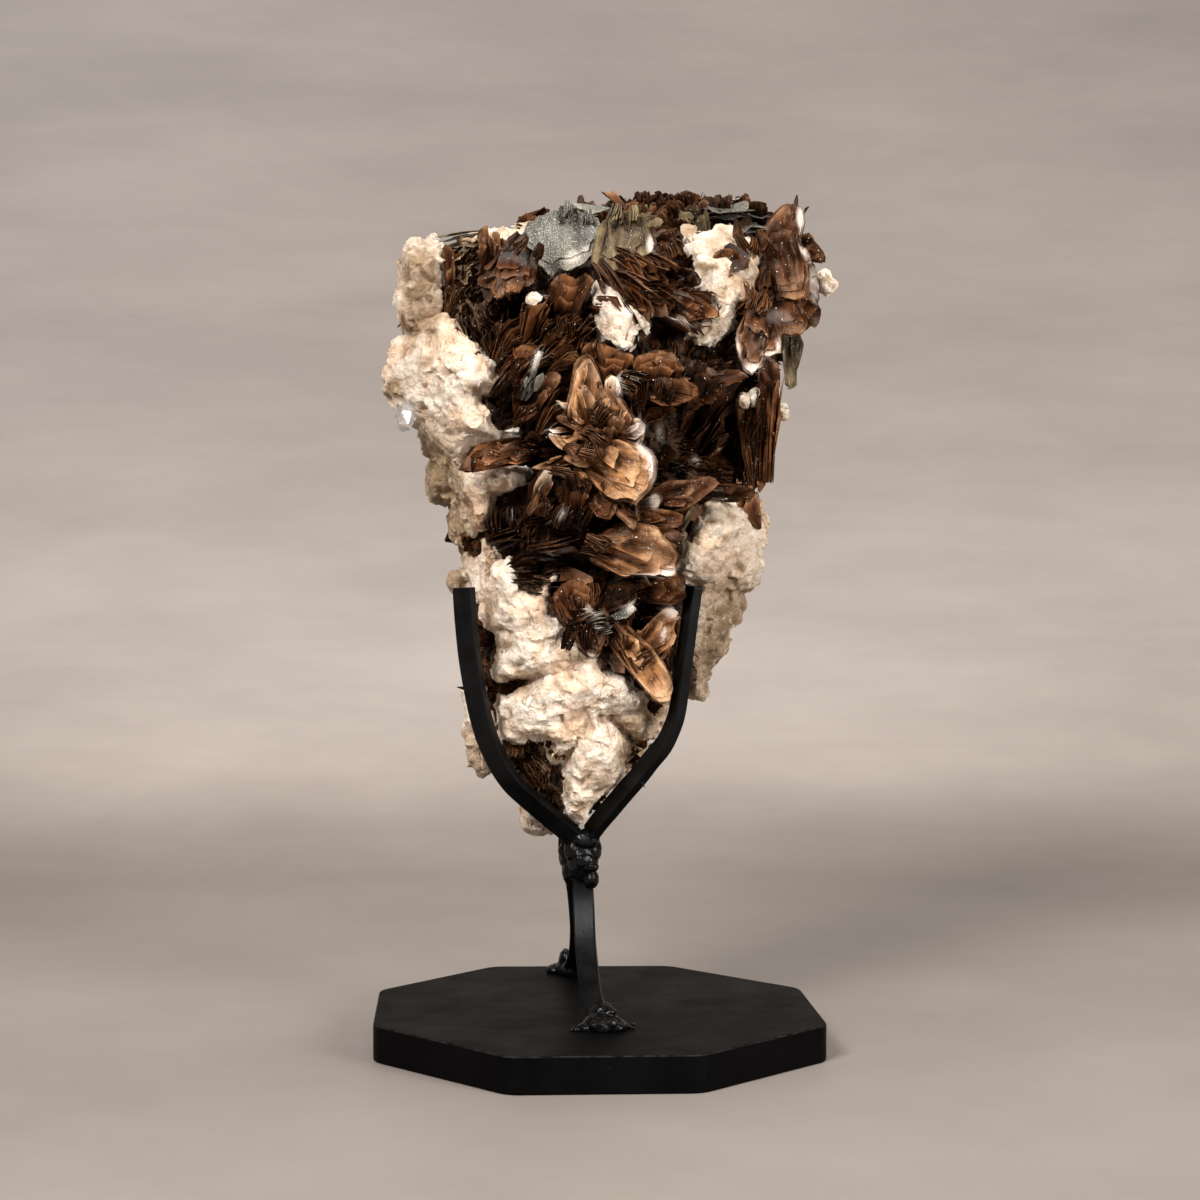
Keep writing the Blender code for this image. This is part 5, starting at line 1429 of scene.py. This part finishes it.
def grow_plate(kind, proud, rise, layers, aim, outline, dice):
    """Whole sheets one behind the other, broken ones that still stand on the front one, and a fringe."""
    outline = np.array([complex(*corner) for corner in outline]) / 1000
    middle, aim, rise = outline.mean(), math.radians(aim), rise / 1000
    rim_depth = float(front_depth(middle.real, middle.imag)) - proud / 1000
    # Layers behind the front sheet, the small books under a plate and the fringe of a pale plate take the next darker
    # kind: painted shade.
    shaded_kind = {"tan": "taupe", "taupe": "brown", "pale": "taupe", "brown": "dark"}
    fold = FOLDS.get(kind, 1.0)
    growth = complex(math.cos(aim), math.sin(aim))
    ahead = ((outline - middle) / growth).real
    root = middle + growth * (ahead.min() - ROOT_BEHIND * np.ptp(ahead) - 0.002)
    frame = (root, growth, float(np.abs(outline - root).mean()), dice.uniform(0, 90))
    for layer in range(layers + 1):
        grown = middle + (outline - middle) * (1 + 0.02 * layer + dice.uniform(-0.01, 0.03))
        kinds[shaded_kind.get(kind, kind) if layer > 1 else kind].append(
            plate_sheet(
                grown, frame, aim + dice.uniform(-0.08, 0.08), (0, 1), 0.004, 1, rim_depth + 0.0011 * layer,
                rise, dice, dice.uniform(0.0004, 0.0007), dice.random(), fold, 1.0 if layer < 2 else 1.7,
            )
        )
    for flake in range(1 + layers // 2):
        share = dice.uniform(0.35, 0.80)
        start = dice.uniform(0, 1 - share)
        kinds[kind].append(
            plate_sheet(
                outline, frame, aim + dice.uniform(-0.3, 0.3), (start, start + share), 0.002,
                dice.uniform(0.40, 0.95), rim_depth - dice.uniform(0.0002, 0.0009),
                rise * dice.uniform(0.9, 1.1), dice, dice.uniform(0.0003, 0.0005), dice.random(), fold,
            )
        )
    for _ in range(2 + layers // 2):
        side = (dice.random() - 0.5) * 0.8 * np.ptp(((outline - middle) / growth).imag)
        end = middle + growth * complex(ahead.min() * dice.uniform(0.5, 0.9), side)
        left, right = body_limits(end.imag)[:2]
        end_x = min(max(end.real, left + 0.014), right - 0.014)
        tip = slid_back(end_x, end.imag, rim_depth - dice.uniform(0.001, 0.004))
        axes = book_axes(math.degrees(aim) + dice.uniform(-22, 22), dice.uniform(8, 30), dice.uniform(50, 84))
        grow_book(
            shaded_kind.get(kind, kind), tip, axes, dice.uniform(0.010, 0.016), math.radians(dice.uniform(12, 24)),
            math.radians(dice.uniform(10, 26)), 0.4, 5, dice, SMALL_GRID,
        )
    if kind not in FOLDS:
        fringe(shaded_kind.get(kind, kind) if kind == "pale" else kind, outline, aim, rim_depth, dice)


def in_cleft(x, z):
    return any(((x - a) / b) ** 2 + ((z - c) / d) ** 2 < 1.2 for a, c, b, d, _ in CLEFTS)


dice = random.Random(SHEET_SEED)
for kind, x, z, aim, lift, turn, length, half, spread_angle, proud in FRONT_BOOKS:
    x, z, length, proud = x / 1000, z / 1000, length / 1000, proud / 1000
    tip = slid_back(x, z, front_depth(x, z) - proud)
    sheets = 3 if lift > 55 else 10 if turn < 45 else 20
    taper = 0.8 if turn < 45 else 0.35
    grow_book(
        kind, tip, book_axes(aim, lift, turn), length, math.radians(half),
        math.radians(spread_angle * 1.2), taper, sheets, dice,
        FLAT_BOOK_GRID if turn < 45 else BOOK_GRID, 0.8 if turn < 45 else 0.3,
    )
for row in PLATES:
    grow_plate(*row, dice)

# Small books that fill the ground between the great ones in front: (kind, count, x limits,
# z limits, aim, lift, turn, length, how far the tip stands out), in mm and degrees
FILLERS = (
    ("dark", 26, (-66, -34), (300, 352), 112, 34, 78, 26, 6),
    ("brown", 14, (-30, 0), (322, 352), 52, 30, 70, 24, 9),
    ("dark", 14, (-38, -12), (290, 330), 60, 26, 60, 22, 6),
    ("dark", 20, (40, 76), (262, 308), 66, 14, 72, 26, -9),
    ("brown", 10, (16, 44), (325, 362), -40, 26, 66, 22, 10),
    ("dark", 16, (-45, -28), (230, 256), 96, 20, 74, 20, 6),
    ("dark", 22, (-30, 4), (218, 252), 20, 26, 66, 22, 8),
    ("brown", 10, (26, 46), (226, 262), 30, 26, 30, 18, 10),
    ("dark", 12, (0, 44), (196, 218), 10, 28, 40, 18, 8),
    ("brown", 12, (70, 78), (280, 318), 90, 12, 74, 26, 4),
    ("brown", 10, (-58, -50), (158, 262), 130, 20, 60, 14, 1),
    ("brown", 10, (8, 40), (160, 200), -54, 18, 20, 22, 4),
    ("brown", 12, (-34, -14), (108, 146), -70, 20, 60, 12, 2),
    ("brown", 8, (18, 38), (130, 160), -40, 20, 60, 12, 2),
    ("dark", 12, (38, 84), (384, 394), 90, 20, 40, 13, -22),
    ("dark", 14, (16, 50), (380, 392), 90, 30, 30, 14, -10),
    ("brown", 10, (-28, 10), (378, 387), 80, 25, 40, 13, -4),
    ("brown", 12, (62, 100), (320, 372), -80, 24, 20, 22, 6),
    ("dark", 10, (92, 104), (330, 372), 10, 8, 40, 14, -10),
    ("brown", 12, (14, 60), (294, 324), 40, 30, 20, 20, 5),
    ("dark", 12, (28, 60), (258, 296), 30, 30, 30, 18, 0),
)
for kind, count, x_range, z_range, aim, lift, turn, length, proud in FILLERS:
    for _ in range(count):
        x, z = dice.uniform(*x_range) / 1000, dice.uniform(*z_range) / 1000
        if in_cleft(x, z):
            continue
        tip = slid_back(x, z, front_depth(x, z) - (proud + dice.uniform(-3, 3)) / 1000)
        axes = book_axes(
            aim + dice.uniform(-18, 18), lift + dice.uniform(-8, 8), turn + dice.uniform(-14, 14)
        )
        grow_book(
            kind, tip, axes, length / 1000 * dice.uniform(0.7, 1.15), math.radians(dice.uniform(14, 30)),
            math.radians(dice.uniform(14, 34)), 0.5, 6, dice,
        )



def seen_surface():
    """What the sight lines from EYE meet: the matrix, the feldspar and the sheets grown so far."""
    points, faces, owners, start = [], [], [], 0
    for owner, piece in (("matrix", matrix), ("feldspar", feldspar)):
        points.append(point_array(piece.data))
        faces += [tuple(start + i for i in face.vertices) for face in piece.data.polygons]
        owners += [owner] * len(piece.data.polygons)
        start += len(piece.data.vertices)
    for kind, leaves in kinds.items():
        for one in leaves:
            points.append(one[0])
            faces += [tuple(face) for face in (one[1] + start).tolist()]
            owners += [kind] * len(one[1])
            start += len(one[0])
    return BVHTree.FromPolygons(np.vstack(points).tolist(), faces), owners


def met_at(surface, x, z):
    """Where the sight line through (x, 0, z) first meets the specimen, the way the face looks, and whose it is."""
    tree, owners = surface
    eye = Vector(EYE)
    place, face_way, index, _ = tree.ray_cast(eye, Vector(slid_back(x, z, 0.0)) - eye)
    return (place, face_way, owners[index]) if place is not None else (None, None, None)


# Dark books wherever the matrix would still lie bare in front, in two goes
for step in (0.0040, 0.0033):
    surface = seen_surface()
    for z in np.arange(0.112, 0.392, step):
        for x in np.arange(-0.066, 0.100, step):
            place, face_way, owner = met_at(
                surface, x + dice.uniform(-0.001, 0.001), z + dice.uniform(-0.001, 0.001)
            )
            if owner != "matrix":
                continue
            if face_way.y > 0:
                face_way = -face_way
            swirl = noise.noise_vector(place * 22)
            growth = (face_way + swirl + Vector((0, -0.4, 0.3))).normalized()
            width = growth.cross(noise.noise_vector(place * 15 + Vector((5, 5, 5)))).normalized()
            grow_book(
                "brown" if dice.random() < 0.2 else "dark", place + growth * dice.uniform(0.003, 0.008),
                (growth, width, growth.cross(width)), dice.uniform(0.012, 0.018),
                math.radians(dice.uniform(12, 26)), math.radians(dice.uniform(8, 26)), 0.5, 5, dice,
            )

# Loose flakes lying on the sheets in front
FLAKES = 420
surface = seen_surface()
for _ in range(FLAKES):
    x, z = dice.uniform(-0.088, 0.104), dice.uniform(0.112, 0.392)
    place, face_way, owner = met_at(surface, x, z)
    if owner not in ("dark", "brown") or in_cleft(x, z):
        continue
    if face_way.dot(Vector(EYE) - place) < 0:
        face_way = -face_way
    swirl = noise.noise_vector(place * 40) + noise.noise_vector(place * 110)
    stack = (face_way + Vector([dice.uniform(-0.45, 0.45) for _ in range(3)])).normalized()
    growth = (swirl - stack * swirl.dot(stack)).normalized()
    length = dice.uniform(0.003, 0.009)
    kinds[owner].append(
        fan_sheet(
            place + stack * 0.0005 - growth * length * 0.6, (growth, stack.cross(growth), stack), length,
            math.radians(dice.uniform(8, 18)), 0.4, dice.uniform(0, 0.16), dice.uniform(-0.1, 0.1), dice,
            dice.uniform(0.0003, 0.0006), dice.random(), SMALL_GRID,
        )
    )

# Books round the sides, the back and the top, in clusters of one kind
FLANK_BOOKS = 210
# The top of the specimen: x, and the height there
TOP_LINE = ((-0.088, -0.056, -0.010, 0.033, 0.067, 0.090, 0.107), (0.371, 0.377, 0.391, 0.397, 0.396, 0.386, 0.364))
for number in range(FLANK_BOOKS):
    share = (number + 0.5) / FLANK_BOOKS
    height = 0.116 + 0.262 * share
    angle = math.radians(90 + ((number * 137.5) % 262) - 131)
    place, outward_way = on_body(angle, height)
    swirl = noise.noise_vector(place * 24)
    growth = (outward_way + swirl * 1.6 + Vector([dice.uniform(-0.25, 0.25) for _ in range(3)])).normalized()
    width = growth.cross(noise.noise_vector(place * 17 + Vector((5, 5, 5)))).normalized()
    length = dice.uniform(0.018, 0.034)
    if abs(outward_way.x) > 0.72 and height < 0.325:
        continue
    family = noise.noise(place * 20 + Vector((9, 2, 4)))
    kind = "dark" if family < -0.12 else "brown" if family < 0.16 else "taupe" if family < 0.34 else "olive"
    proud = dice.uniform(0.003, 0.011) if outward_way.y > 0.3 else dice.uniform(-0.004, 0.001)
    tip = place + growth * proud
    left, right = body_limits(height)[:2]
    if height < 0.325 and not left + 0.016 < tip.x < right - 0.016 or tip.z > np.interp(tip.x, *TOP_LINE) - 0.004:
        continue
    grow_book(
        kind, tip, (growth, width, growth.cross(width)), length, math.radians(dice.uniform(10, 24)),
        math.radians(dice.uniform(14, 36)), dice.uniform(0.4, 0.9), dice.choice((5, 7, 9)), dice,
    )
# Sheets that lie against the sides and the back
SIDE_BOOKS = 300
for number in range(SIDE_BOOKS):
    height = 0.118 + 0.246 * (number + 0.5) / SIDE_BOOKS
    angle = math.radians(90 + ((number * 137.5) % 250) - 125)
    place, outward_way = on_body(angle, height)
    patch = noise.noise(place * 26 + Vector((2, 7, 1)))
    if patch < -0.22:
        continue
    swirl = Vector((0, 0, 0.5)) + noise.noise_vector(place * 20)
    stack = (outward_way + 0.55 * noise.noise_vector(place * 31)).normalized()
    growth = (swirl - stack * swirl.dot(stack)).normalized()
    length = dice.uniform(0.014, 0.026)
    left, right = body_limits(height)[:2]
    tip = place + growth * length * 0.5 + outward_way * dice.uniform(-0.0006, 0.0018)
    if not left + 0.008 < tip.x < right - 0.009:
        continue
    grow_book(
        "dark" if patch < 0.08 else "brown" if patch < 0.24 else "taupe", tip, (growth, stack.cross(growth), stack),
        length, math.radians(dice.uniform(18, 40)), math.radians(dice.uniform(6, 18)), 0.7, 3, dice,
    )
# Books that lie or stand on top: (kind, tip, growth, stacking direction, length, half angle,
# spread, sheets), in mm and degrees
TOP_ROWS = (
    ("silver", (84, -2, 374), (1, -0.75, -0.26), (0.1, -0.5, 1), 58, 34, 3, 4),
    ("silver", (66, -10, 377), (0.2, -1, -0.35), (0, -0.5, 1), 30, 40, 3, 3),
    ("olive", (-30, 6, 380), (-1, -0.4, -0.06), (0, -0.35, 1), 34, 36, 3, 3),
    ("pale", (-48, 0, 377), (-1, -0.5, -0.1), (0, -0.35, 1), 30, 34, 3, 3),
    ("silver", (-20, 8, 385), (-1, -0.2, -0.04), (0, -0.4, 1), 30, 34, 4, 3),
    ("brown", (-22, 12, 387), (-1, -0.3, 0.3), (0.3, -0.3, 1), 20, 30, 16, 5),
    ("taupe", (-4, 30, 393), (-0.9, 0, 0.3), (0.3, -0.4, 1), 24, 34, 12, 5),
    ("taupe", (12, 40, 394), (0.3, -0.2, 0.8), (0, -1, 0.3), 18, 40, 16, 5),
)
for kind, tip, growth, stack, length, half, spread_angle, sheets in TOP_ROWS:
    growth, stack = Vector(growth).normalized(), Vector(stack)
    stack = (stack - growth * growth.dot(stack)).normalized()
    grow_book(
        kind, Vector(tip) / 1000, (growth, stack.cross(growth), stack), length / 1000, math.radians(half),
        math.radians(spread_angle), 0.8, sheets, dice, FLAT_BOOK_GRID, 0.30,
    )
# Upright books along the ridges of the top: (kind, count, first x, y, height, last x, y, height, length)
TOP_RIDGES = (
    ("dark", 17, (40, 14, 399), (85, 22, 391), 16),
    ("brown", 6, (50, 20, 399), (72, 26, 398), 14),
    ("dark", 8, (20, 6, 397), (42, 18, 399), 14),
    ("olive", 7, (14, -6, 388), (48, 4, 390), 14),
    ("taupe", 7, (18, -2, 392), (44, 6, 394), 13),
    ("dark", 7, (-14, 24, 388), (14, 22, 392), 14),
    ("brown", 7, (-30, 12, 385), (-2, 18, 388), 12),
    ("dark", 6, (-56, 14, 376), (-34, 18, 382), 12),
)
for kind, count, first, last, length in TOP_RIDGES:
    for number in range(count):
        place = Vector(first).lerp(Vector(last), (number + 0.5) / count)
        place += Vector((dice.uniform(-2, 2), dice.uniform(-5, 5), dice.uniform(-3, 1)))
        growth = Vector((dice.uniform(-0.7, 0.7), dice.uniform(-0.6, 0.3), 0.8)).normalized()
        width = growth.cross(Vector((dice.uniform(-1, 1), dice.uniform(-1, 1), 0.2))).normalized()
        grow_book(
            kind, place / 1000, (growth, width, growth.cross(width)), length / 1000 * dice.uniform(0.8, 1.2),
            math.radians(dice.uniform(20, 40)), math.radians(dice.uniform(12, 30)), 0.7, 6, dice,
        )
TOP_BOOKS = 46
for number in range(TOP_BOOKS):
    turn = number * 2.4
    reach = math.sqrt((number + 0.5) / TOP_BOOKS)
    x = 0.018 + 0.068 * reach * math.cos(turn)
    y = 0.040 + 0.036 * reach * math.sin(turn)
    z = 0.398 - 0.012 * reach - max(0, -x) * 0.26
    lean = Vector((dice.uniform(-1, 1), dice.uniform(-1, 1), 0.7)).normalized()
    width = lean.cross(Vector((dice.uniform(-1, 1), dice.uniform(-1, 1), 0.2))).normalized()
    kind = dice.choice(("dark", "olive", "brown", "taupe"))
    grow_book(
        kind, Vector((x, y, z)), (lean, width, lean.cross(width)), dice.uniform(0.014, 0.022),
        math.radians(dice.uniform(24, 46)), math.radians(dice.uniform(14, 30)), 0.7, 5, dice,
    )


def join_sheets(name, leaves):
    """One mesh of many closed sheets, with what their finish reads."""
    points, faces, rims, grain, shades, start = [], [], [], [], [], 0
    for leaf_points, leaf_faces, rim, uv, shade in leaves:
        points.append(leaf_points)
        faces.append(leaf_faces + start)
        rims.append(rim)
        grain.append(uv[leaf_faces.ravel()])
        shades.append(shade)
        start += len(leaf_points)
    points, faces = clear_of_arms(np.vstack(points)), np.vstack(faces)
    mesh = bpy.data.meshes.new(name)
    mesh.vertices.add(len(points))
    mesh.loops.add(faces.size)
    mesh.polygons.add(len(faces))
    mesh.vertices.foreach_set("co", points.astype(np.float32).ravel())
    mesh.polygons.foreach_set("loop_start", np.arange(len(faces), dtype=np.int32) * 4)
    mesh.loops.foreach_set("vertex_index", faces.astype(np.int32).ravel())
    mesh.update(calc_edges=True)
    mesh.validate()
    layer = mesh.uv_layers.new(name="sheet")
    layer.data.foreach_set("uv", np.vstack(grain).astype(np.float32).ravel())
    mark_points(mesh, "rim", np.concatenate(rims))
    mark_points(mesh, "shade", np.concatenate(shades))
    x, z = seen_place(points)
    front = points[:, 1] < front_depth(x, z) + 0.012
    # Painted highlights on the rims that face the front.
    mark_points(mesh, "pale", np.where(front, spot_mask(x, z, RIM_HIGHLIGHT_SPOTS), 0))
    piece = bpy.data.objects.new(name, mesh)
    bpy.context.scene.collection.objects.link(piece)
    pick_only(piece)
    bpy.ops.object.mode_set(mode="EDIT")
    bpy.ops.mesh.select_all(action="SELECT")
    bpy.ops.mesh.normals_make_consistent(inside=False)
    bpy.ops.object.mode_set(mode="OBJECT")
    bpy.ops.object.shade_smooth_by_angle(angle=math.radians(50))
    return piece


def leaf_grain():
    """Node group: streaks along the growth of a sheet, its colour from root to rim, and its relief."""
    group = bpy.data.node_groups.new("mica_leaf_grain", "ShaderNodeTree")
    for socket, kind in (
        ("Root", "NodeSocketColor"), ("Body", "NodeSocketColor"), ("Rim", "NodeSocketColor"),
        ("Sparkle", "NodeSocketFloat"),
    ):
        group.interface.new_socket(socket, in_out="INPUT", socket_type=kind)
    for socket, kind in (("Colour", "NodeSocketColor"), ("Roughness", "NodeSocketFloat"), ("Relief", "NodeSocketFloat")):
        group.interface.new_socket(socket, in_out="OUTPUT", socket_type=kind)
    given, result = group.nodes.new("NodeGroupInput"), group.nodes.new("NodeGroupOutput")
    sheet = add_node(group, "ShaderNodeUVMap", uv_map="sheet").outputs["UV"]
    coarse = add_node(group, "ShaderNodeMapping", {"Vector": sheet, "Scale": (0.55, 0.06, 1)}).outputs[0]
    thin = add_node(group, "ShaderNodeMapping", {"Vector": sheet, "Scale": (2.6, 0.14, 1)}).outputs[0]
    streak = noise_value(group, coarse, 1.0, 5, 0.6, 0.3)
    hair = noise_value(group, thin, 1.0, 3, 0.6)
    cloud = noise_value(group, object_place(group), 130, 4, 0.6)
    rim = add_node(group, "ShaderNodeAttribute", attribute_name="rim").outputs["Fac"]
    shade = add_node(group, "ShaderNodeAttribute", attribute_name="shade").outputs["Fac"]
    pale = add_node(group, "ShaderNodeAttribute", attribute_name="pale").outputs["Fac"]
    # Darker towards the root: painted shade where the sheet goes into the rock.
    grown = spread(group, rim, 0.20, 1.00)
    grown = sums(group, "ADD", grown, spread(group, streak, 0.3, 0.7, -0.22, 0.22))
    grown = sums(group, "ADD", grown, spread(group, cloud, 0.36, 0.64, -0.55, 0.45))
    colour = mixed(group, grown, given.outputs["Root"], given.outputs["Body"])
    # Paler thin rim: partly the edge's own tone, partly painted light shining through it.
    thin_rim = spread(group, rim, 0.80, 1.0)
    thin_rim = sums(group, "MULTIPLY", thin_rim, spread(group, cloud, 0.40, 0.62, 0.1, 0.75))
    colour = mixed(group, thin_rim, colour, given.outputs["Rim"])
    colour = mixed(group, 1.0, colour, ramp(group, hair, (0.35, (0.62, 0.60, 0.58)), (0.65, (1.0, 1.0, 1.0))), "MULTIPLY")
    # The shade mark: tone that differs at random between sheets, plus the painted light and shade of the folds.
    tone = ramp(group, shade, (0.0, (0.22, 0.17, 0.14)), (0.45, (0.78, 0.72, 0.68)), (1.0, (1.35, 1.30, 1.20)))
    colour = mixed(group, 1.0, colour, tone, "MULTIPLY")
    # Painted highlights on thin rims, broken by the streaks.
    lit = sums(group, "MULTIPLY", pale, spread(group, hair, 0.35, 0.55, 0.65, 1.0))
    colour = mixed(group, lit, colour, (0.80, 0.68, 0.58, 1))
    speck = noise_value(group, object_place(group), 1000, 1)
    glitter = noise_value(group, object_place(group), 1900, 1)
    sparkle = sums(group, "MULTIPLY", given.outputs["Sparkle"], spread(group, glitter, 0.40, 0.48, 1, 0))
    colour = mixed(group, sparkle, colour, (0.10, 0.10, 0.085, 1))
    # Bright glitter on silver and olive sheets: painted glints.
    sparkle = sums(group, "MULTIPLY", given.outputs["Sparkle"], spread(group, glitter, 0.60, 0.66))
    colour = mixed(group, sparkle, colour, (0.66, 0.65, 0.60, 1))
    # Tiny pale dots on every sheet: painted glints.
    painted_glints = spread(group, speck, 0.74, 0.77)
    colour = mixed(group, painted_glints, colour, (0.8, 0.76, 0.7, 1))
    group.links.new(colour, result.inputs["Colour"])
    group.links.new(spread(group, hair, 0.3, 0.7, 0.18, 0.36), result.inputs["Roughness"])
    relief = sums(group, "ADD", sums(group, "MULTIPLY", streak, 0.5), sums(group, "MULTIPLY", hair, 0.6))
    relief = sums(group, "ADD", relief, sums(group, "MULTIPLY", cloud, 0.7))
    group.links.new(relief, result.inputs["Relief"])
    return group


leaf_group = leaf_grain()
# Root, body and rim colours of each kind of sheet. The dark root is painted shade where a sheet goes into the rock;
# the pale rim is partly the thin edge's own tone, partly painted light shining through it.
# The pale kind stands for thin rims that shine: partly their own colour, partly painted light.
MICA_TONES = {
    "dark": ((0.0045, 0.0018, 0.0008, 1), (0.032, 0.0115, 0.0046, 1), (0.120, 0.052, 0.023, 1)),
    "brown": ((0.016, 0.0052, 0.0020, 1), (0.098, 0.034, 0.0120, 1), (0.32, 0.155, 0.072, 1)),
    "taupe": ((0.026, 0.0090, 0.0038, 1), (0.128, 0.050, 0.021, 1), (0.38, 0.22, 0.125, 1)),
    "tan": ((0.090, 0.032, 0.012, 1), (0.430, 0.215, 0.095, 1), (0.72, 0.50, 0.33, 1)),
    "pale": ((0.180, 0.095, 0.052, 1), (0.560, 0.390, 0.260, 1), (0.86, 0.77, 0.68, 1)),
    "silver": ((0.100, 0.094, 0.072, 1), (0.185, 0.176, 0.142, 1), (0.36, 0.33, 0.27, 1)),
    "olive": ((0.085, 0.058, 0.026, 1), (0.210, 0.155, 0.078, 1), (0.40, 0.32, 0.20, 1)),
}
PIECE_FACES = 90000  # most quads in one piece
for kind, leaves in kinds.items():
    mica_finish, tree, shader = new_finish("mica_" + kind, 0.3)
    grain_node = add_node(tree, "ShaderNodeGroup", node_tree=leaf_group)
    for socket, colour in zip(("Root", "Body", "Rim"), MICA_TONES[kind]):
        grain_node.inputs[socket].default_value = colour
    grain_node.inputs["Sparkle"].default_value = {"silver": 0.55, "olive": 0.15}.get(kind, 0.0)
    tree.links.new(grain_node.outputs["Colour"], shader.inputs["Base Color"])
    tree.links.new(grain_node.outputs["Roughness"], shader.inputs["Roughness"])
    tree.links.new(bump(tree, grain_node.outputs["Relief"], 0.6, 0.0006), shader.inputs["Normal"])
    shader.inputs["Specular IOR Level"].default_value = 0.20
    if kind not in ("silver", "pale"):
        shader.inputs["Specular Tint"].default_value = (1.0, 0.74, 0.54, 1)
    parts = math.ceil(sum(len(one[1]) for one in leaves) / PIECE_FACES)
    for part in range(parts):
        sheets = join_sheets(f"mica_{kind}_{part + 1}", leaves[part::parts])
        dress(sheets, mica_finish, "mica_and_feldspar", "mica_specimen")

# Floor and backdrop
# A pale sheet of board swept up behind, which only carries the light. Its colour is brightest in the cove
# and darker on the open floor and higher up: a painted light gradient. It is clear from behind,
# so that the specimen can be seen from every side.
SWEEP = ((-3.0, 0), (0.50, 0), (0.62, 0.012), (0.72, 0.05), (0.79, 0.12), (0.83, 0.22), (0.86, 0.40), (0.90, 1.6))
sweep_points = [(side, y, z) for y, z in SWEEP for side in (-3.0, 3.0)]
sweep_faces = [(2 * i, 2 * i + 1, 2 * i + 3, 2 * i + 2) for i in range(len(SWEEP) - 1)]
floor = mesh_piece("floor", sweep_points, sweep_faces)
pick_only(floor)
bpy.ops.object.shade_smooth()
floor_finish, tree, shader = new_finish("pale_board", 0.55)
tone = noise_value(tree, object_place(tree, (3, 3, 14)), 1.0, 6, 0.65)
height = add_node(tree, "ShaderNodeSeparateXYZ", {"Vector": object_place(tree)}).outputs["Z"]
# Brighter in the cove, darker on the open floor and up the backdrop: painted light.
painted_light_by_height = ramp(
    tree, height, (0.0, (0.245, 0.206, 0.178)), (0.05, (0.37, 0.313, 0.273)), (0.28, (0.272, 0.228, 0.199)),
    (0.62, (0.205, 0.170, 0.147)),
)
streaks = ramp(tree, tone, (0.35, (0.88, 0.875, 0.87)), (0.65, (1.08, 1.085, 1.09)))
tree.links.new(mixed(tree, 1.0, painted_light_by_height, streaks, "MULTIPLY"), shader.inputs["Base Color"])
from_behind = add_node(tree, "ShaderNodeNewGeometry").outputs["Backfacing"]
tree.links.new(sums(tree, "SUBTRACT", 1.0, from_behind), shader.inputs["Alpha"])
floor.data.materials.append(floor_finish)

# Light and camera
# Two large soft boxes in front, a wide one above, and a dim room.
ROOM_LIGHT = 0.06
SOFT_BOXES = (
    ("key_box", (-0.80, -1.30, 1.30), 0.6, 47),
    ("fill_box", (1.10, -1.10, 0.70), 0.6, 26),
    ("top_box", (0.05, 0.20, 1.70), 1.0, 17),
)
LIGHT_AIM = Vector((0.0, 0.0, 0.24))
for name, place, size, watts in SOFT_BOXES:
    lamp = bpy.data.lights.new(name, "AREA")
    lamp.shape = "SQUARE"
    lamp.size = size
    lamp.energy = watts
    box = bpy.data.objects.new(name, lamp)
    box.location = place
    box.rotation_euler = (LIGHT_AIM - Vector(place)).to_track_quat("-Z", "Y").to_euler()
    bpy.context.scene.collection.objects.link(box)
world = bpy.data.worlds.new("dim_room")
world.use_nodes = True
world.node_tree.nodes["Background"].inputs["Color"].default_value = (1.0, 0.97, 0.94, 1)
world.node_tree.nodes["Background"].inputs["Strength"].default_value = ROOM_LIGHT
bpy.context.scene.world = world
bpy.context.scene.view_settings.view_transform = "Standard"

CAMERA_PLACE = (-0.06576, -1.25068, 0.2722)
CAMERA_TURN = (87.0, 0, -3.17)
CAMERA_LENS = 81.5
camera_data = bpy.data.cameras.new("camera")
camera_data.lens = CAMERA_LENS
camera_data.sensor_width = 36
camera = bpy.data.objects.new("camera", camera_data)
camera.location = CAMERA_PLACE
camera.rotation_euler = [math.radians(a) for a in CAMERA_TURN]
bpy.context.scene.collection.objects.link(camera)
bpy.context.scene.camera = camera
